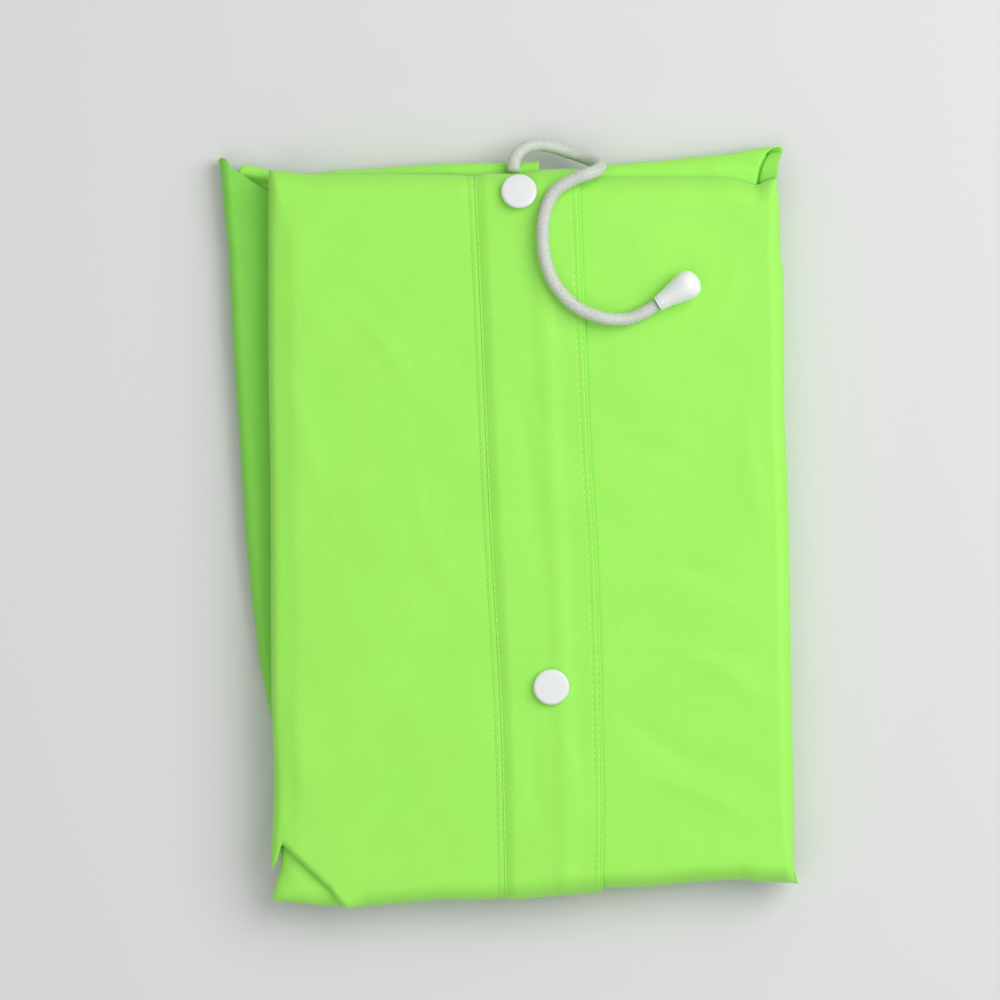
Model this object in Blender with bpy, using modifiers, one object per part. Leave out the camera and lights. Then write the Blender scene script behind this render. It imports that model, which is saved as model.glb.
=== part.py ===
"""A high-visibility raincoat folded into a flat packet, its two fronts uppermost.

The packet lies on a surface: X runs across it, Y from its hem end to its hood end, Z up.
The origin is under the middle of the cloth, on the surface. Tables are in millimetres.
"""

from collections import namedtuple
from math import cos, hypot, pi, radians, sin, sqrt

import bmesh
import bpy
import numpy as np
from mathutils import Vector
from mathutils.geometry import interpolate_bezier

MM = 0.001
NAME = "folded_raincoat"
TURN_STEPS = 28  # facets round a stud or the moulded end
CURVE_STEPS = 24  # points on each span of the cord's curve before it is read off evenly

# Cloth
WALL = 1.3  # a coated cloth wall, drawn thicker than the real 0.3 mm
GAP = 0.3  # left between two pieces that touch
SIDE_GAP = 0.5  # each front stops this far from the line where they meet

# The packet's upper half: both fronts, folded round its sides
TOP = 25.0  # height of the fronts
CROWN = 1.0  # how much higher the middle of the packet is
CROWN_HALF = (112.0, 150.0)  # the crown fades to nothing at these distances
LEFT_LIP, RIGHT_LIP = 12.0, 9.0  # height of the lower lip of each side fold
LEFT_REACH, RIGHT_REACH = 12.0, 6.5  # width over which each side fold rounds off
TUCK = 0.93 * pi  # a fold's round goes this far from its crown to its tucked lip
TIGHTEST = 2.1  # radius of the tightest round, which the wall has to go round without meeting itself
HEAD_ROUND = 11.0  # width over which the hood end rounds off
END_KEEP = 0.34  # share of the height that is left where the cloth goes over an end
END_SHARE = 0.2  # share of the rows that lie on each end's round
END_EASE = 34.0  # over this distance from an end the side folds grow to their full width
RIDGE_HIGH, RIDGE_HALF = 0.7, 4.0  # low ridge where the hidden front edge lies under the flap
RIDGE_AT = 0.62  # its place, as a share of the way from the flap's seam to its free edge
ROUND_SHARE = 0.4  # share of a front's columns that lie on its side fold
LIP_CHANGE = 40.0  # distance over which the height of the lip passes from the left side's to the right's

# Where the fronts' folds lie. Rows run from the hem end to the hood end (y, x).
LEFT_FOLD = (
    (-157.0, -98.9), (-143.0, -99.0), (-115.0, -97.7), (-73.0, -99.0),
    (11.0, -99.3), (74.0, -100.2), (147.5, -100.2),
)
RIGHT_FOLD = (
    (-150.0, 120.4), (-106.5, 119.9), (-69.0, 119.1), (-31.0, 118.6), (19.5, 117.4),
    (44.5, 116.2), (107.5, 115.7), (111.0, 114.7), (134.0, 114.1), (146.0, 112.8),
)
# Rows from left to right (x, y).
HEAD_FOLD = (
    (-100.6, 149.5), (-91.4, 148.7), (-82.0, 147.4), (-45.0, 147.6), (-20.0, 147.2),
    (-9.0, 146.0), (5.0, 146.0), (15.0, 147.6), (28.0, 147.8), (41.0, 146.6), (91.5, 146.4),
    (98.5, 144.9), (104.4, 143.2), (108.6, 144.9), (113.0, 146.2),
)
HEM_FOLD = (
    (-99.5, -145.5), (-96.5, -140.0), (-94.5, -133.5), (-87.0, -140.3), (-79.0, -147.8),
    (-74.0, -152.5), (-70.5, -157.5), (-67.0, -160.3), (-57.0, -159.4), (-27.0, -156.7),
    (-11.5, -157.1), (13.5, -154.0), (39.0, -152.0), (59.0, -151.6), (79.0, -149.5),
    (99.0, -148.3), (104.5, -149.5), (120.0, -149.9),
)
# The hem end closes right down, but where the corner is turned in its edge stays up (x, width, share).
HEM_CLOSE = ((-67.5, 3.4, 0.8), (-60.0, 8.0, END_KEEP))

# Storm flap: the seam that holds it and its free edge (y, x)
FLAP_SEAM = (
    (-153.0, -1.0), (-94.0, -2.3), (-48.0, -4.4), (-14.0, -6.5), (36.0, -9.0),
    (95.0, -11.5), (149.5, -14.1),
)
FLAP_FREE = (
    (-153.0, 39.7), (-128.0, 40.1), (-73.0, 39.3), (-18.5, 37.6), (32.0, 34.6),
    (82.0, 32.5), (145.0, 30.0),
)
FLAP_EASE = 0.25  # slack between the flap and the fronts
FLAP_LIFT = 0.5  # the free edge stands this much off the right front
FLAP_OVERHANG = 1.1  # what lies over the flap clears it to this share of its width

# Sleeve folded in behind the left front: its outer fold (y, x) and its peaked head (x, y)
SLEEVE_TOP, SLEEVE_LIP, SLEEVE_REACH = 10.8, 1.5, 4.5
SLEEVE_UNDER = 8.0  # how far it goes in under the front's fold
SLEEVE_HEM = -82.0
SLEEVE_ROUNDS = (3.0, 2.5)  # over these widths its rows come closer together at its two ends
SLEEVE_RISE = 0.3  # how much it rises on its way in under the front
SLEEVE_FOLD = (
    (-92.0, -95.5), (-81.0, -99.4), (-56.0, -104.4), (-18.5, -108.6), (32.0, -112.4),
    (82.0, -115.7), (107.5, -117.0), (135.0, -119.5), (148.0, -120.8), (153.5, -121.6),
)
SLEEVE_HEAD = (
    (-121.6, 153.6), (-120.6, 154.9), (-118.4, 154.4), (-115.8, 149.9), (-112.8, 148.5),
    (-104.5, 142.8), (-100.8, 140.6), (-91.0, 136.0),
)
# The sleeve's second layer, a small hollow ear between the peak and the front's fold
EAR_LEFT, EAR_RIGHT, EAR_FOOT = -113.6, -97.4, 140.4
EAR_HEAD = ((-113.6, 148.6), (-112.2, 151.0), (-110.0, 151.8), (-106.0, 151.0), (-97.0, 149.3))
EAR_LOW, EAR_RIM = 6.0, 8.0  # heights of its hollow and of its rim
EAR_RISE = (0.3, 0.72)  # shares of the way to its head where the rim starts and is reached
EAR_DROP, EAR_DROP_FROM = 1.0, 0.78  # how far the rim turns down, and from where
EAR_SLOPE = 1.0  # how much lower it is at its right side

# Hood, folded down behind: its outer edges (x, y)
HOOD_TOP, HOOD_LIP, HOOD_UNDER = 13.9, 3.4, 3.0
HOOD_FLAT = 0.3  # share of its rows that lie flat before its round
HOOD_REACH_MOST = 0.8  # its round takes no more than this share of its width
BACK_DROP, BACK_SWELL = 1.2, 0.6  # the back lies this much lower, and swells this much in its middle
BACK_EDGE = (
    (-84.0, 148.0), (-74.0, 149.3), (-60.0, 150.2), (-42.0, 151.4), (-27.0, 152.3),
    (-11.5, 152.8), (13.2, 153.3),
)
ROLL_EDGE = (
    (37.0, 150.8), (44.0, 152.0), (64.0, 153.7), (79.0, 155.0), (89.0, 156.2),
    (99.0, 157.9), (109.5, 159.2), (115.0, 160.0),
)
BACK_REACH = ((-84.0, 3.0), (-60.0, 3.6), (13.2, 4.2))
ROLL_REACH = ((37.0, 4.2), (80.0, 7.5), (115.0, 11.0))
# The roll's open end, from its top edge (0) round to its tucked lip (1): how far right it goes
ROLL_END = ((0.0, 104.0), (0.3, 105.2), (0.5, 108.5), (0.7, 114.2), (0.8, 115.7), (1.0, 111.0))
INNER_LEFT, INNER_INSET, INNER_TOP, INNER_LIP = 88.0, 2.4, 11.2, 5.6
INNER_END, INNER_FROM, INNER_LEAN = 113.4, 151.0, 0.35  # its right end there, and how it leans
# How far it goes in under the front, and beyond the front's corner how far it keeps off (x, distance)
INNER_UNDER = ((88.0, 3.0), (104.6, 3.0), (108.4, -0.6), (117.0, -0.6))

# Layer that shows where the left front's corner is turned in
CORNER_TOP, CORNER_REACH, CORNER_RIGHT, CORNER_HEAD = 21.3, 11.0, -66.0, -121.0
CORNER_TUCK = 0.62 * pi
CORNER_ROUNDS, CORNER_KEEPS = (7.0, 1.0), (0.45, 1.0)
CORNER_EDGE = ((-160.0, -98.9), (-156.0, -98.6), (-149.0, -96.9), (-142.0, -94.9), (-118.0, -94.5))
CORNER_HEM = (
    (-99.0, -157.0), (-87.0, -158.2), (-77.0, -159.3), (-70.5, -159.4), (-69.0, -157.0), (-66.0, -155.2),
)
# Small ear at the right end of the hem: its four corners (x, y, z), and how far its outer edge curls up
HEM_EAR_CORNERS = (
    (113.5, -141.5, 7.6), (120.4, -142.2, 7.6), (122.3, -150.5, 8.6), (113.5, -149.4, 7.2),
)
HEM_EAR_CURL = 1.2

# Hidden layers, one row for each: heights, and how far each edge stands in from the folds above
Layer = namedtuple("Layer", "low high left_from left right head hem")
LAYERS = (
    Layer(0.0, 3.2, "sleeve", 9.5, 2.6, 1.2, 2.0),
    Layer(3.2, 6.2, "sleeve", 4.4, 0.9, 4.6, 1.0),
    Layer(6.2, 9.2, "sleeve", 4.6, 3.9, 4.6, 2.4),
    Layer(9.2, 11.5, "front", 10.0, 8.2, 4.6, 1.2),
    Layer(11.5, 13.8, "front", 13.0, 3.4, 4.6, 2.2),
    Layer(13.8, 16.4, "front", 8.0, 2.6, 4.6, 4.6),
    Layer(16.4, 18.6, "front", 7.0, 4.0, 6.0, 6.5),
    Layer(18.6, 19.7, "front", 13.0, 8.0, 10.0, 12.0),
)
LAYER_CREASE = 0.8  # how deep the crease between two layers is
LAYER_STEP = 0.1  # height left between one layer's last outline and the next one's first
LAYER_FULL = (0.3, 0.7)  # a layer stands full out between these shares of its height
LAYER_SQUARE = 14  # the higher, the squarer the corners of the stack
LAYER_POINTS = 60
STACK_HEM = (
    (-100.0, -155.5), (-75.0, -157.8), (-64.0, -158.0), (-27.0, -156.0), (13.5, -153.4),
    (59.0, -150.8), (99.0, -147.8), (120.0, -149.0),
)
EAR_CUT = ((-115.0, 127.0), (-97.0, 138.0), (-88.0, 149.0))  # room for the sleeve's ear (x, y)
STACK_HALF = (112.0, 148.0)  # nominal half width and half length of the packet

# Press studs: x, y, lean towards the hood end in degrees, lift off the flap
STUD_WIDE, STUD_HIGH, STUD_RIM = 15.0, 2.6, 0.9
STUD_DOME = ((0.0, 0.0), (0.45, 0.12), (0.8, 0.5))  # share of the half width, and drop from the top
STUD_RIM_TURNS = (60, 25, -10, -50)  # degrees round the rim's section
STUD_RIM_UP, STUD_FOOT_IN = 0.4, 1.2  # the rim's lift off the flat foot, and the foot's inset
STUDS = {"stud_top": (4.8, 139.5, 17.0, 0.6), "stud_bottom": (18.3, -67.2, 0.0, 0.75)}

# Drawstring
CORD_WIDE = 5.5
CORD_STEP = 1.1 * CORD_WIDE  # between two points of its tube
CORD_LIFT = 0.95  # clearance under the cord where it lies on the cloth
CORD_FOOT = (-2.5, 0.0, 2.5)  # it clears the highest cloth at these distances, both ways, from its middle
# Free loop past the hood end, in space (x, y, z)
CORD_LOOP = (
    (2.7, 148.6, 17.6), (3.0, 153.6, 15.4), (6.3, 158.0, 12.8), (12.2, 160.1, 10.6),
    (18.8, 159.4, 9.2), (25.2, 157.4, 8.9), (31.4, 155.2, 10.1), (36.4, 153.0, 14.0),
    (38.8, 150.8, 20.2), (37.5, 148.8, 26.4),
)
# Where it lies on the cloth (x, y)
CORD_LAID = (
    (26.4, 144.2), (19.4, 139.2), (15.5, 130.4), (14.7, 120.4), (16.0, 110.2), (20.2, 100.4),
    (28.2, 91.9), (38.6, 87.2), (49.2, 86.4), (57.0, 89.2), (62.4, 92.6),
)
CORD_OVER = (33.2, 146.9, 30.6)  # just past the turn over the fold, where the laid part begins

# Moulded end on the cord: distance along it and radius
END_PROFILE = (
    (0.0, 3.3), (1.2, 3.5), (5.0, 4.0), (10.0, 5.2), (14.0, 6.0), (17.0, 5.7), (19.2, 3.9), (20.2, 0.0),
)
END_SQUARE = 32.0  # degrees that its axis turns from X towards Y
END_TILT = 8.0  # degrees that it rises towards its fat end
END_FATTEST = 0.7  # share of its length where it is fattest

LIME = (0.35, 0.88, 0.10, 1.0)
LIME_SHADE = (0.25, 0.72, 0.08, 1.0)
WHITE = (0.80, 0.84, 0.84, 1.0)
OFF_WHITE = (0.76, 0.74, 0.68, 1.0)


def edge(table, at):
    """A table's value at a place between its rows."""
    rows = np.array(table)
    return float(np.interp(at, rows[:, 0], rows[:, 1]))


def mix(a, b, share):
    return a + (b - a) * share


def crown(x, y):
    """How much the packet swells at (x, y)."""
    across, along = x / CROWN_HALF[0], y / CROWN_HALF[1]
    return CROWN * max(0.0, 1 - across * across) * max(0.0, 1 - along * along)


def ridge(x, y):
    """The hidden front edge, which shows through the flap as a low ridge."""
    middle = mix(edge(FLAP_SEAM, y), edge(FLAP_FREE, y), RIDGE_AT)
    return RIDGE_HIGH * np.exp(-(((x - middle) / RIDGE_HALF) ** 2))


def cloth_top(x, y):
    return TOP + crown(x, y) + ridge(x, y)


def end_row(s, hem, head, rounds, keeps):
    """The place of row s between a piece's two ends, and the share of height that it keeps there.

    An end is a quarter of an ellipse, upright where the cloth stops.
    """
    if s < END_SHARE:
        turn = s / END_SHARE * pi / 2
        return hem + rounds[0] * (1 - cos(turn)), 1 - (1 - keeps[0]) * (1 - sin(turn))
    if s > 1 - END_SHARE:
        turn = (1 - s) / END_SHARE * pi / 2
        return head - rounds[1] * (1 - cos(turn)), 1 - (1 - keeps[1]) * (1 - sin(turn))
    share = (s - END_SHARE) / (1 - 2 * END_SHARE)
    return mix(hem + rounds[0], head - rounds[1], share), 1.0


def packet_row(s, x, deep=0.0):
    """The row s of the fronts at x, deep under their outer face: its y and the height it keeps."""
    close = np.array(HEM_CLOSE)
    wide = float(np.interp(x, close[:, 0], close[:, 1]))
    keep = float(np.interp(x, close[:, 0], close[:, 2]))
    rounds = (wide - deep, HEAD_ROUND - deep)
    return end_row(s, edge(HEM_FOLD, x) + deep, edge(HEAD_FOLD, x) - deep, rounds, (keep, END_KEEP))


def inner_keep(keep, end, tall, deep):
    """The share of its height that the inner face keeps where the outer face keeps that share of tall.

    end is the outer face's share at the very end, where both faces stand upright at one height.
    """
    return 1 - (1 - keep) / (1 - end) * (tall * (1 - end) - deep) / (tall - 2 * deep)


def fold(turn, out, reach, high, lip):
    """A point of a fold's round, from its crown (turn 0) round to its lip, as (place, height).

    out is the fold's outermost place, and reach is signed: it leads from there to the crown.
    """
    return out + reach * (1 - sin(turn)), lip + (high - lip) * (1 + cos(turn)) / 2


def eased(reach, high, lip, keep=1.0):
    """A fold's width, less where it is flattened, so that its round is never tighter than TIGHTEST."""
    half = (high - lip) / 2 * keep
    return min(reach, half * half / TIGHTEST)


def front_point(side, c, s, deep=0.0):
    """A point on a front, c from its tucked lip (0) to the middle of the packet (1).

    deep is how far inside the outer face it lies. The inner face has tighter rounds, so it nests in it.
    """
    level = packet_row(s, 0.0)[0]
    left, right = (LEFT_FOLD, LEFT_REACH, LEFT_LIP), (RIGHT_FOLD, RIGHT_REACH, RIGHT_LIP)
    table, reach, lip = left if side < 0 else right
    out = edge(table, level)
    inside = min(level - packet_row(0.0, 0.0)[0], packet_row(1.0, 0.0)[0] - level)
    near = 0.0 if s < 0.5 else 1.0
    reach = mix(eased(reach, TOP, lip, packet_row(near, out)[1]), reach, min(1.0, inside / END_EASE))
    crown_x = out - side * reach
    if c < ROUND_SHARE:
        turn = TUCK * (1 - c / ROUND_SHARE)
        high = cloth_top(crown_x, level) - deep
        x, z = fold(turn, out - side * deep, -side * (reach - deep), high, lip + deep)
    else:
        middle = mix(edge(FLAP_SEAM, level), edge(FLAP_FREE, level), 0.5) + side * SIDE_GAP
        x = mix(crown_x, middle, (c - ROUND_SHARE) / (1 - ROUND_SHARE))
        z = cloth_top(x, level) - deep
    y, keep = packet_row(s, x, deep)
    end = packet_row(near, x)[1]
    low = lip + deep
    return Vector((x, y, low + (z - low) * inner_keep(keep, end, TOP - lip, deep)))


def over_front(x, s, out):
    """A point that lies out from the fronts' surface, over both of them."""

    def surface(x, s):
        y, keep = packet_row(s, x)
        lip = mix(LEFT_LIP, RIGHT_LIP, min(1.0, max(0.0, x / LIP_CHANGE)))
        return Vector((x, y, lip + (cloth_top(x, packet_row(s, 0.0)[0]) - lip) * keep))

    step_x, step_s = 0.5, 0.004
    a, b = max(0.0, s - step_s), min(1.0, s + step_s)
    normal = (surface(x + step_x, s) - surface(x - step_x, s)).cross(surface(x, b) - surface(x, a))
    return surface(x, s) + normal.normalized() * out


def flap_out(c):
    """How far the flap's outer face lies out from the fronts, c from its seam to its free edge."""
    return GAP + WALL + FLAP_EASE + FLAP_LIFT * c**4


def flap_point(c, s):
    """The storm flap's outer face, c from its seam (0) to its free edge (1)."""
    level = packet_row(s, 0.0)[0]
    x = mix(edge(FLAP_SEAM, level), edge(FLAP_FREE, level), c)
    return over_front(x, s, flap_out(c))


def sleeve_point(c, s):
    """The sleeve's outer layer, c from its tucked lip (0) to where it goes under the front (1)."""
    level = end_row(s, SLEEVE_HEM, SLEEVE_FOLD[-1][0], SLEEVE_ROUNDS, (1.0, 1.0))[0]
    out = edge(SLEEVE_FOLD, level)
    if c < 0.5:
        x, z = fold(TUCK * (1 - 2 * c), out, SLEEVE_REACH, SLEEVE_TOP, SLEEVE_LIP)
    else:
        under = edge(LEFT_FOLD, level) + SLEEVE_UNDER
        x = mix(out + SLEEVE_REACH, under, 2 * c - 1)
        z = SLEEVE_TOP + SLEEVE_RISE * (2 * c - 1)
    y = end_row(s, SLEEVE_HEM, edge(SLEEVE_HEAD, x), SLEEVE_ROUNDS, (1.0, 1.0))[0]
    return Vector((x, y, z))


def ear_point(c, s):
    """The sleeve's second layer: a hollow behind the peak, with a rim at its head."""
    x = mix(EAR_LEFT, EAR_RIGHT, c)
    y = mix(EAR_FOOT, edge(EAR_HEAD, x), s)
    start, reached = EAR_RISE
    rise = min(1.0, max(0.0, (s - start) / (reached - start)))
    rim = mix(EAR_LOW, EAR_RIM, (1 - cos(rise * pi)) / 2)
    drop = EAR_DROP * max(0.0, (s - EAR_DROP_FROM) / (1 - EAR_DROP_FROM)) ** 2
    return Vector((x, y, rim - drop - EAR_SLOPE * c))


def hood_section(x, s, out, reach, high, lip, under):
    """A layer of the hood at x, s from under the front (0) over its outer edge to its lip (1)."""
    inner = edge(HEAD_FOLD, x) - under
    reach = min(reach, HOOD_REACH_MOST * (out - inner))
    if s < HOOD_FLAT:
        return Vector((x, mix(inner, out - reach, s / HOOD_FLAT), high))
    y, z = fold(TUCK * (s - HOOD_FLAT) / (1 - HOOD_FLAT), out, -reach, high, lip)
    return Vector((x, y, z))


def hood_back_point(c, s):
    x = mix(BACK_EDGE[0][0], BACK_EDGE[-1][0], c)
    high = HOOD_TOP - BACK_DROP + BACK_SWELL * sin(c * pi)
    return hood_section(x, s, edge(BACK_EDGE, x), edge(BACK_REACH, x), high, HOOD_LIP, HOOD_UNDER)


def hood_roll_point(c, s):
    x = mix(ROLL_EDGE[0][0], edge(ROLL_END, s), c)
    return hood_section(x, s, edge(ROLL_EDGE, x), edge(ROLL_REACH, x), HOOD_TOP, HOOD_LIP, HOOD_UNDER)


def hood_inner_point(c, s):
    """The layer inside the roll, which shows in its open end."""

    def at(x):
        out, reach = edge(ROLL_EDGE, x) - INNER_INSET, edge(ROLL_REACH, x) - INNER_INSET
        return hood_section(x, s, out, reach, INNER_TOP, INNER_LIP, edge(INNER_UNDER, x))

    end = INNER_END + INNER_LEAN * max(0.0, at(INNER_END).y - INNER_FROM)
    return at(mix(INNER_LEFT, end, c))


def corner_point(c, s, deep=0.0):
    """The layer under the turned-in corner, c from its left side (0) to under the front (1)."""
    level = end_row(s, CORNER_HEM[0][1], CORNER_HEAD, CORNER_ROUNDS, (1.0, 1.0))[0]
    out = edge(CORNER_EDGE, level)
    keep = end_row(s, edge(CORNER_HEM, out), CORNER_HEAD, CORNER_ROUNDS, CORNER_KEEPS)[1]
    reach = eased(CORNER_REACH, CORNER_TOP, LEFT_LIP, keep)
    low, high = LEFT_LIP + deep, CORNER_TOP - deep
    if c < 0.5:
        x, z = fold(CORNER_TUCK * (1 - 2 * c), out + deep, reach - deep, high, low)
    else:
        x, z = mix(out + reach, CORNER_RIGHT, 2 * c - 1), high
    rounds = (CORNER_ROUNDS[0] - deep, CORNER_ROUNDS[1])
    y, keep = end_row(s, edge(CORNER_HEM, x) + deep, CORNER_HEAD, rounds, CORNER_KEEPS)
    return Vector((x, y, low + (z - low) * inner_keep(keep, CORNER_KEEPS[0], CORNER_TOP - LEFT_LIP, deep)))


def hem_ear_point(c, s):
    """The small ear at the right of the hem, its outer edge curled up a little."""
    inner_head, outer_head, outer_hem, inner_hem = (Vector(p) for p in HEM_EAR_CORNERS)
    point = inner_hem.lerp(outer_hem, c).lerp(inner_head.lerp(outer_head, c), s)
    return point + Vector((0, 0, HEM_EAR_CURL * c**3))


def stack_ring(layer, inset, z):
    """One outline of the hidden layers, as points round the packet."""
    left_table = SLEEVE_FOLD if layer.left_from == "sleeve" else LEFT_FOLD
    points = []
    for i in range(LAYER_POINTS):
        turn = 2 * pi * i / LAYER_POINTS
        a, b = cos(turn), sin(turn)
        square = max(abs(a), abs(b))
        a, b = a / square, b / square
        soft = (abs(a) ** LAYER_SQUARE + abs(b) ** LAYER_SQUARE) ** (-1 / LAYER_SQUARE)
        a, b = a * soft, b * soft
        x_level, y_level = a * STACK_HALF[0], b * STACK_HALF[1]
        left = edge(left_table, y_level) + layer.left + inset
        right = edge(RIGHT_FOLD, y_level) - layer.right - inset
        head = edge(HEAD_FOLD, x_level) - layer.head - inset
        if layer.left_from == "sleeve":
            head = min(head, edge(EAR_CUT, x_level))
        hem = edge(STACK_HEM, x_level) + layer.hem + inset
        points.append(Vector((mix(left, right, (a + 1) / 2), mix(hem, head, (b + 1) / 2), z)))
    return points


def collection():
    made = bpy.data.collections.new(NAME)
    bpy.context.scene.collection.children.link(made)
    return made


def material(name, colour, roughness, sheen=0.0):
    made = bpy.data.materials.new(name)
    made.use_nodes = True
    shader = made.node_tree.nodes["Principled BSDF"]
    shader.inputs["Base Color"].default_value = colour
    shader.inputs["Roughness"].default_value = roughness
    shader.inputs["Metallic"].default_value = 0.0
    shader.inputs["Sheen Weight"].default_value = sheen
    return made


def place(name, mesh, finish, group):
    mesh.materials.append(finish)
    made = bpy.data.objects.new(name, mesh)
    group.objects.link(made)
    return made


def cloth(name, point, columns, rows, finish, group):
    """A grid laid by point(c, s), given its thickness on the inner side."""
    grid = bmesh.new()
    bmesh.ops.create_grid(grid, x_segments=columns, y_segments=rows, size=0.5)
    for vertex in grid.verts:
        c, s = vertex.co.x + 0.5, vertex.co.y + 0.5
        vertex.co = point(min(1.0, max(0.0, c)), min(1.0, max(0.0, s))) * MM
    mesh = bpy.data.meshes.new(name)
    grid.to_mesh(mesh)
    grid.free()
    made = place(name, mesh, finish, group)
    wall = made.modifiers.new("wall", "SOLIDIFY")
    wall.thickness = WALL * MM
    wall.offset = -1
    mesh.shade_smooth()
    return made


def nested_cloth(name, point, columns, rows, finish, group):
    """A grid laid by point(c, s) with its inner face laid by point(c, s, WALL)."""
    grid = bmesh.new()
    bmesh.ops.create_grid(grid, x_segments=columns, y_segments=rows, size=0.5)
    drawn = bmesh.ops.extrude_face_region(grid, geom=list(grid.faces))["geom"]
    inner = {part for part in drawn if isinstance(part, bmesh.types.BMVert)}
    for vertex in grid.verts:
        c, s = vertex.co.x + 0.5, vertex.co.y + 0.5
        deep = WALL if vertex in inner else 0.0
        vertex.co = point(min(1.0, max(0.0, c)), min(1.0, max(0.0, s)), deep) * MM
    bmesh.ops.recalc_face_normals(grid, faces=list(grid.faces))
    mesh = bpy.data.meshes.new(name)
    grid.to_mesh(mesh)
    grid.free()
    mesh.shade_smooth()
    return place(name, mesh, finish, group)


def stack(name, finish, group):
    """The hidden layers as one solid: a loft through two outlines and two creases a layer."""
    rings = []
    for layer in LAYERS:
        tall = layer.high - layer.low
        rings.append(stack_ring(layer, LAYER_CREASE, layer.low + LAYER_STEP * (layer.low > 0)))
        for share in LAYER_FULL:
            rings.append(stack_ring(layer, 0.0, layer.low + share * tall))
        rings.append(stack_ring(layer, LAYER_CREASE, layer.high - LAYER_STEP))
    solid = bmesh.new()
    loops = [[solid.verts.new(p * MM) for p in ring] for ring in rings]
    for low, high in zip(loops, loops[1:]):
        for i in range(LAYER_POINTS):
            j = (i + 1) % LAYER_POINTS
            solid.faces.new((low[i], low[j], high[j], high[i]))
    solid.faces.new(reversed(loops[0]))
    solid.faces.new(loops[-1])
    mesh = bpy.data.meshes.new(name)
    solid.to_mesh(mesh)
    solid.free()
    return place(name, mesh, finish, group)


def turned(name, profile, steps, finish, group):
    """A round piece from its profile, which runs down its outer side as (radius, height)."""
    mesh = bpy.data.meshes.new(name)
    points = [(r * MM, 0.0, z * MM) for r, z in profile]
    mesh.from_pydata(points, [(i, i + 1) for i in range(len(points) - 1)], [])
    made = place(name, mesh, finish, group)
    screw = made.modifiers.new("turn", "SCREW")
    screw.steps = screw.render_steps = steps
    screw.use_merge_vertices = True
    screw.merge_threshold = 0.00001
    return made


def stud(name, finish, group):
    """A press stud's cap: a low dome with a rounded rim, flat below."""
    half, rim = STUD_WIDE / 2, STUD_RIM
    profile = [(share * half, STUD_HIGH - drop) for share, drop in STUD_DOME]
    for turn in STUD_RIM_TURNS:
        level = rim + STUD_RIM_UP + rim * sin(radians(turn))
        profile.append((half - rim + rim * cos(radians(turn)), level))
    profile += [(half - STUD_FOOT_IN, 0.0), (0.0, 0.0)]
    made = turned(name, profile, TURN_STEPS, finish, group)
    x, y, lean, lift = STUDS[name]
    base = over_height(x, y) + lift
    made.location = Vector((x, y, base)) * MM
    made.rotation_euler = (radians(-lean), 0.0, 0.0)
    return made


def over_height(x, y):
    """Height of the flap's or the fronts' outer face at (x, y), rounding at the hood end included."""
    seam, free = edge(FLAP_SEAM, y), edge(FLAP_FREE, y)
    c = (x - seam) / (free - seam)
    out = flap_out(min(c, 1.0)) if 0 < c < FLAP_OVERHANG else 0.0
    share = min(1.0, max(0.0, 1 - (edge(HEAD_FOLD, x) + out - y) / HEAD_ROUND))
    keep = 1 - (1 - END_KEEP) * (1 - sqrt(1 - share * share))
    return LEFT_LIP + (cloth_top(x, y) - LEFT_LIP) * keep + out


def cord_route():
    """The cord's own points from where it comes out to its moulded end."""
    points = [Vector(p) for p in CORD_LOOP] + [Vector(CORD_OVER)]
    for x, y in CORD_LAID:
        height = max(over_height(x + dx, y + dy) for dx in CORD_FOOT for dy in CORD_FOOT)
        points.append(Vector((x, y, height + CORD_WIDE / 2 + CORD_LIFT)))
    return points


def smooth(points):
    """A curve through the points, read off at even steps."""
    fine = []
    ends = [points[0] * 2 - points[1]] + points + [points[-1] * 2 - points[-2]]
    for before, a, b, after in zip(ends, ends[1:], ends[2:], ends[3:]):
        handles = (a, a + (b - before) / 6, b - (after - a) / 6, b)
        fine += interpolate_bezier(*handles, CURVE_STEPS)[:-1]
    fine.append(points[-1])
    along = np.concatenate([[0], np.cumsum([(b - a).length for a, b in zip(fine, fine[1:])])])
    places = np.linspace(0, along[-1], round(along[-1] / CORD_STEP) + 1)
    return [Vector([float(np.interp(p, along, [v[k] for v in fine])) for k in range(3)]) for p in places]


def tube(name, points, width, finish, group):
    curve = bpy.data.curves.new(name, "CURVE")
    curve.dimensions = "3D"
    spline = curve.splines.new("POLY")
    spline.points.add(len(points) - 1)
    for spot, point in zip(spline.points, points):
        spot.co = (*(point * MM), 1.0)
    curve.bevel_depth = width / 2 * MM
    curve.bevel_resolution = 2
    curve.use_fill_caps = True
    curve.materials.append(finish)
    made = bpy.data.objects.new(name, curve)
    group.objects.link(made)
    return made


def moulded_end(name, points, finish, group):
    """The tapered end on the cord, turned about the cord's last direction."""
    long = END_PROFILE[-1][0]
    profile = [(r, d) for d, r in reversed(END_PROFILE)] + [(0.0, 0.0)]
    made = turned(name, profile, TURN_STEPS, finish, group)
    axis = Vector((cos(radians(END_SQUARE)), sin(radians(END_SQUARE)), sin(radians(END_TILT)))).normalized()
    start = points[-1] + axis * GAP
    fat = max(r for _, r in END_PROFILE)
    middle = start + axis * long * END_FATTEST
    start.z += max(0.0, over_height(middle.x, middle.y) + fat + CORD_LIFT - middle.z)
    made.location = start * MM
    made.rotation_euler = axis.to_track_quat("Z", "Y").to_euler()
    return made


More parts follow.
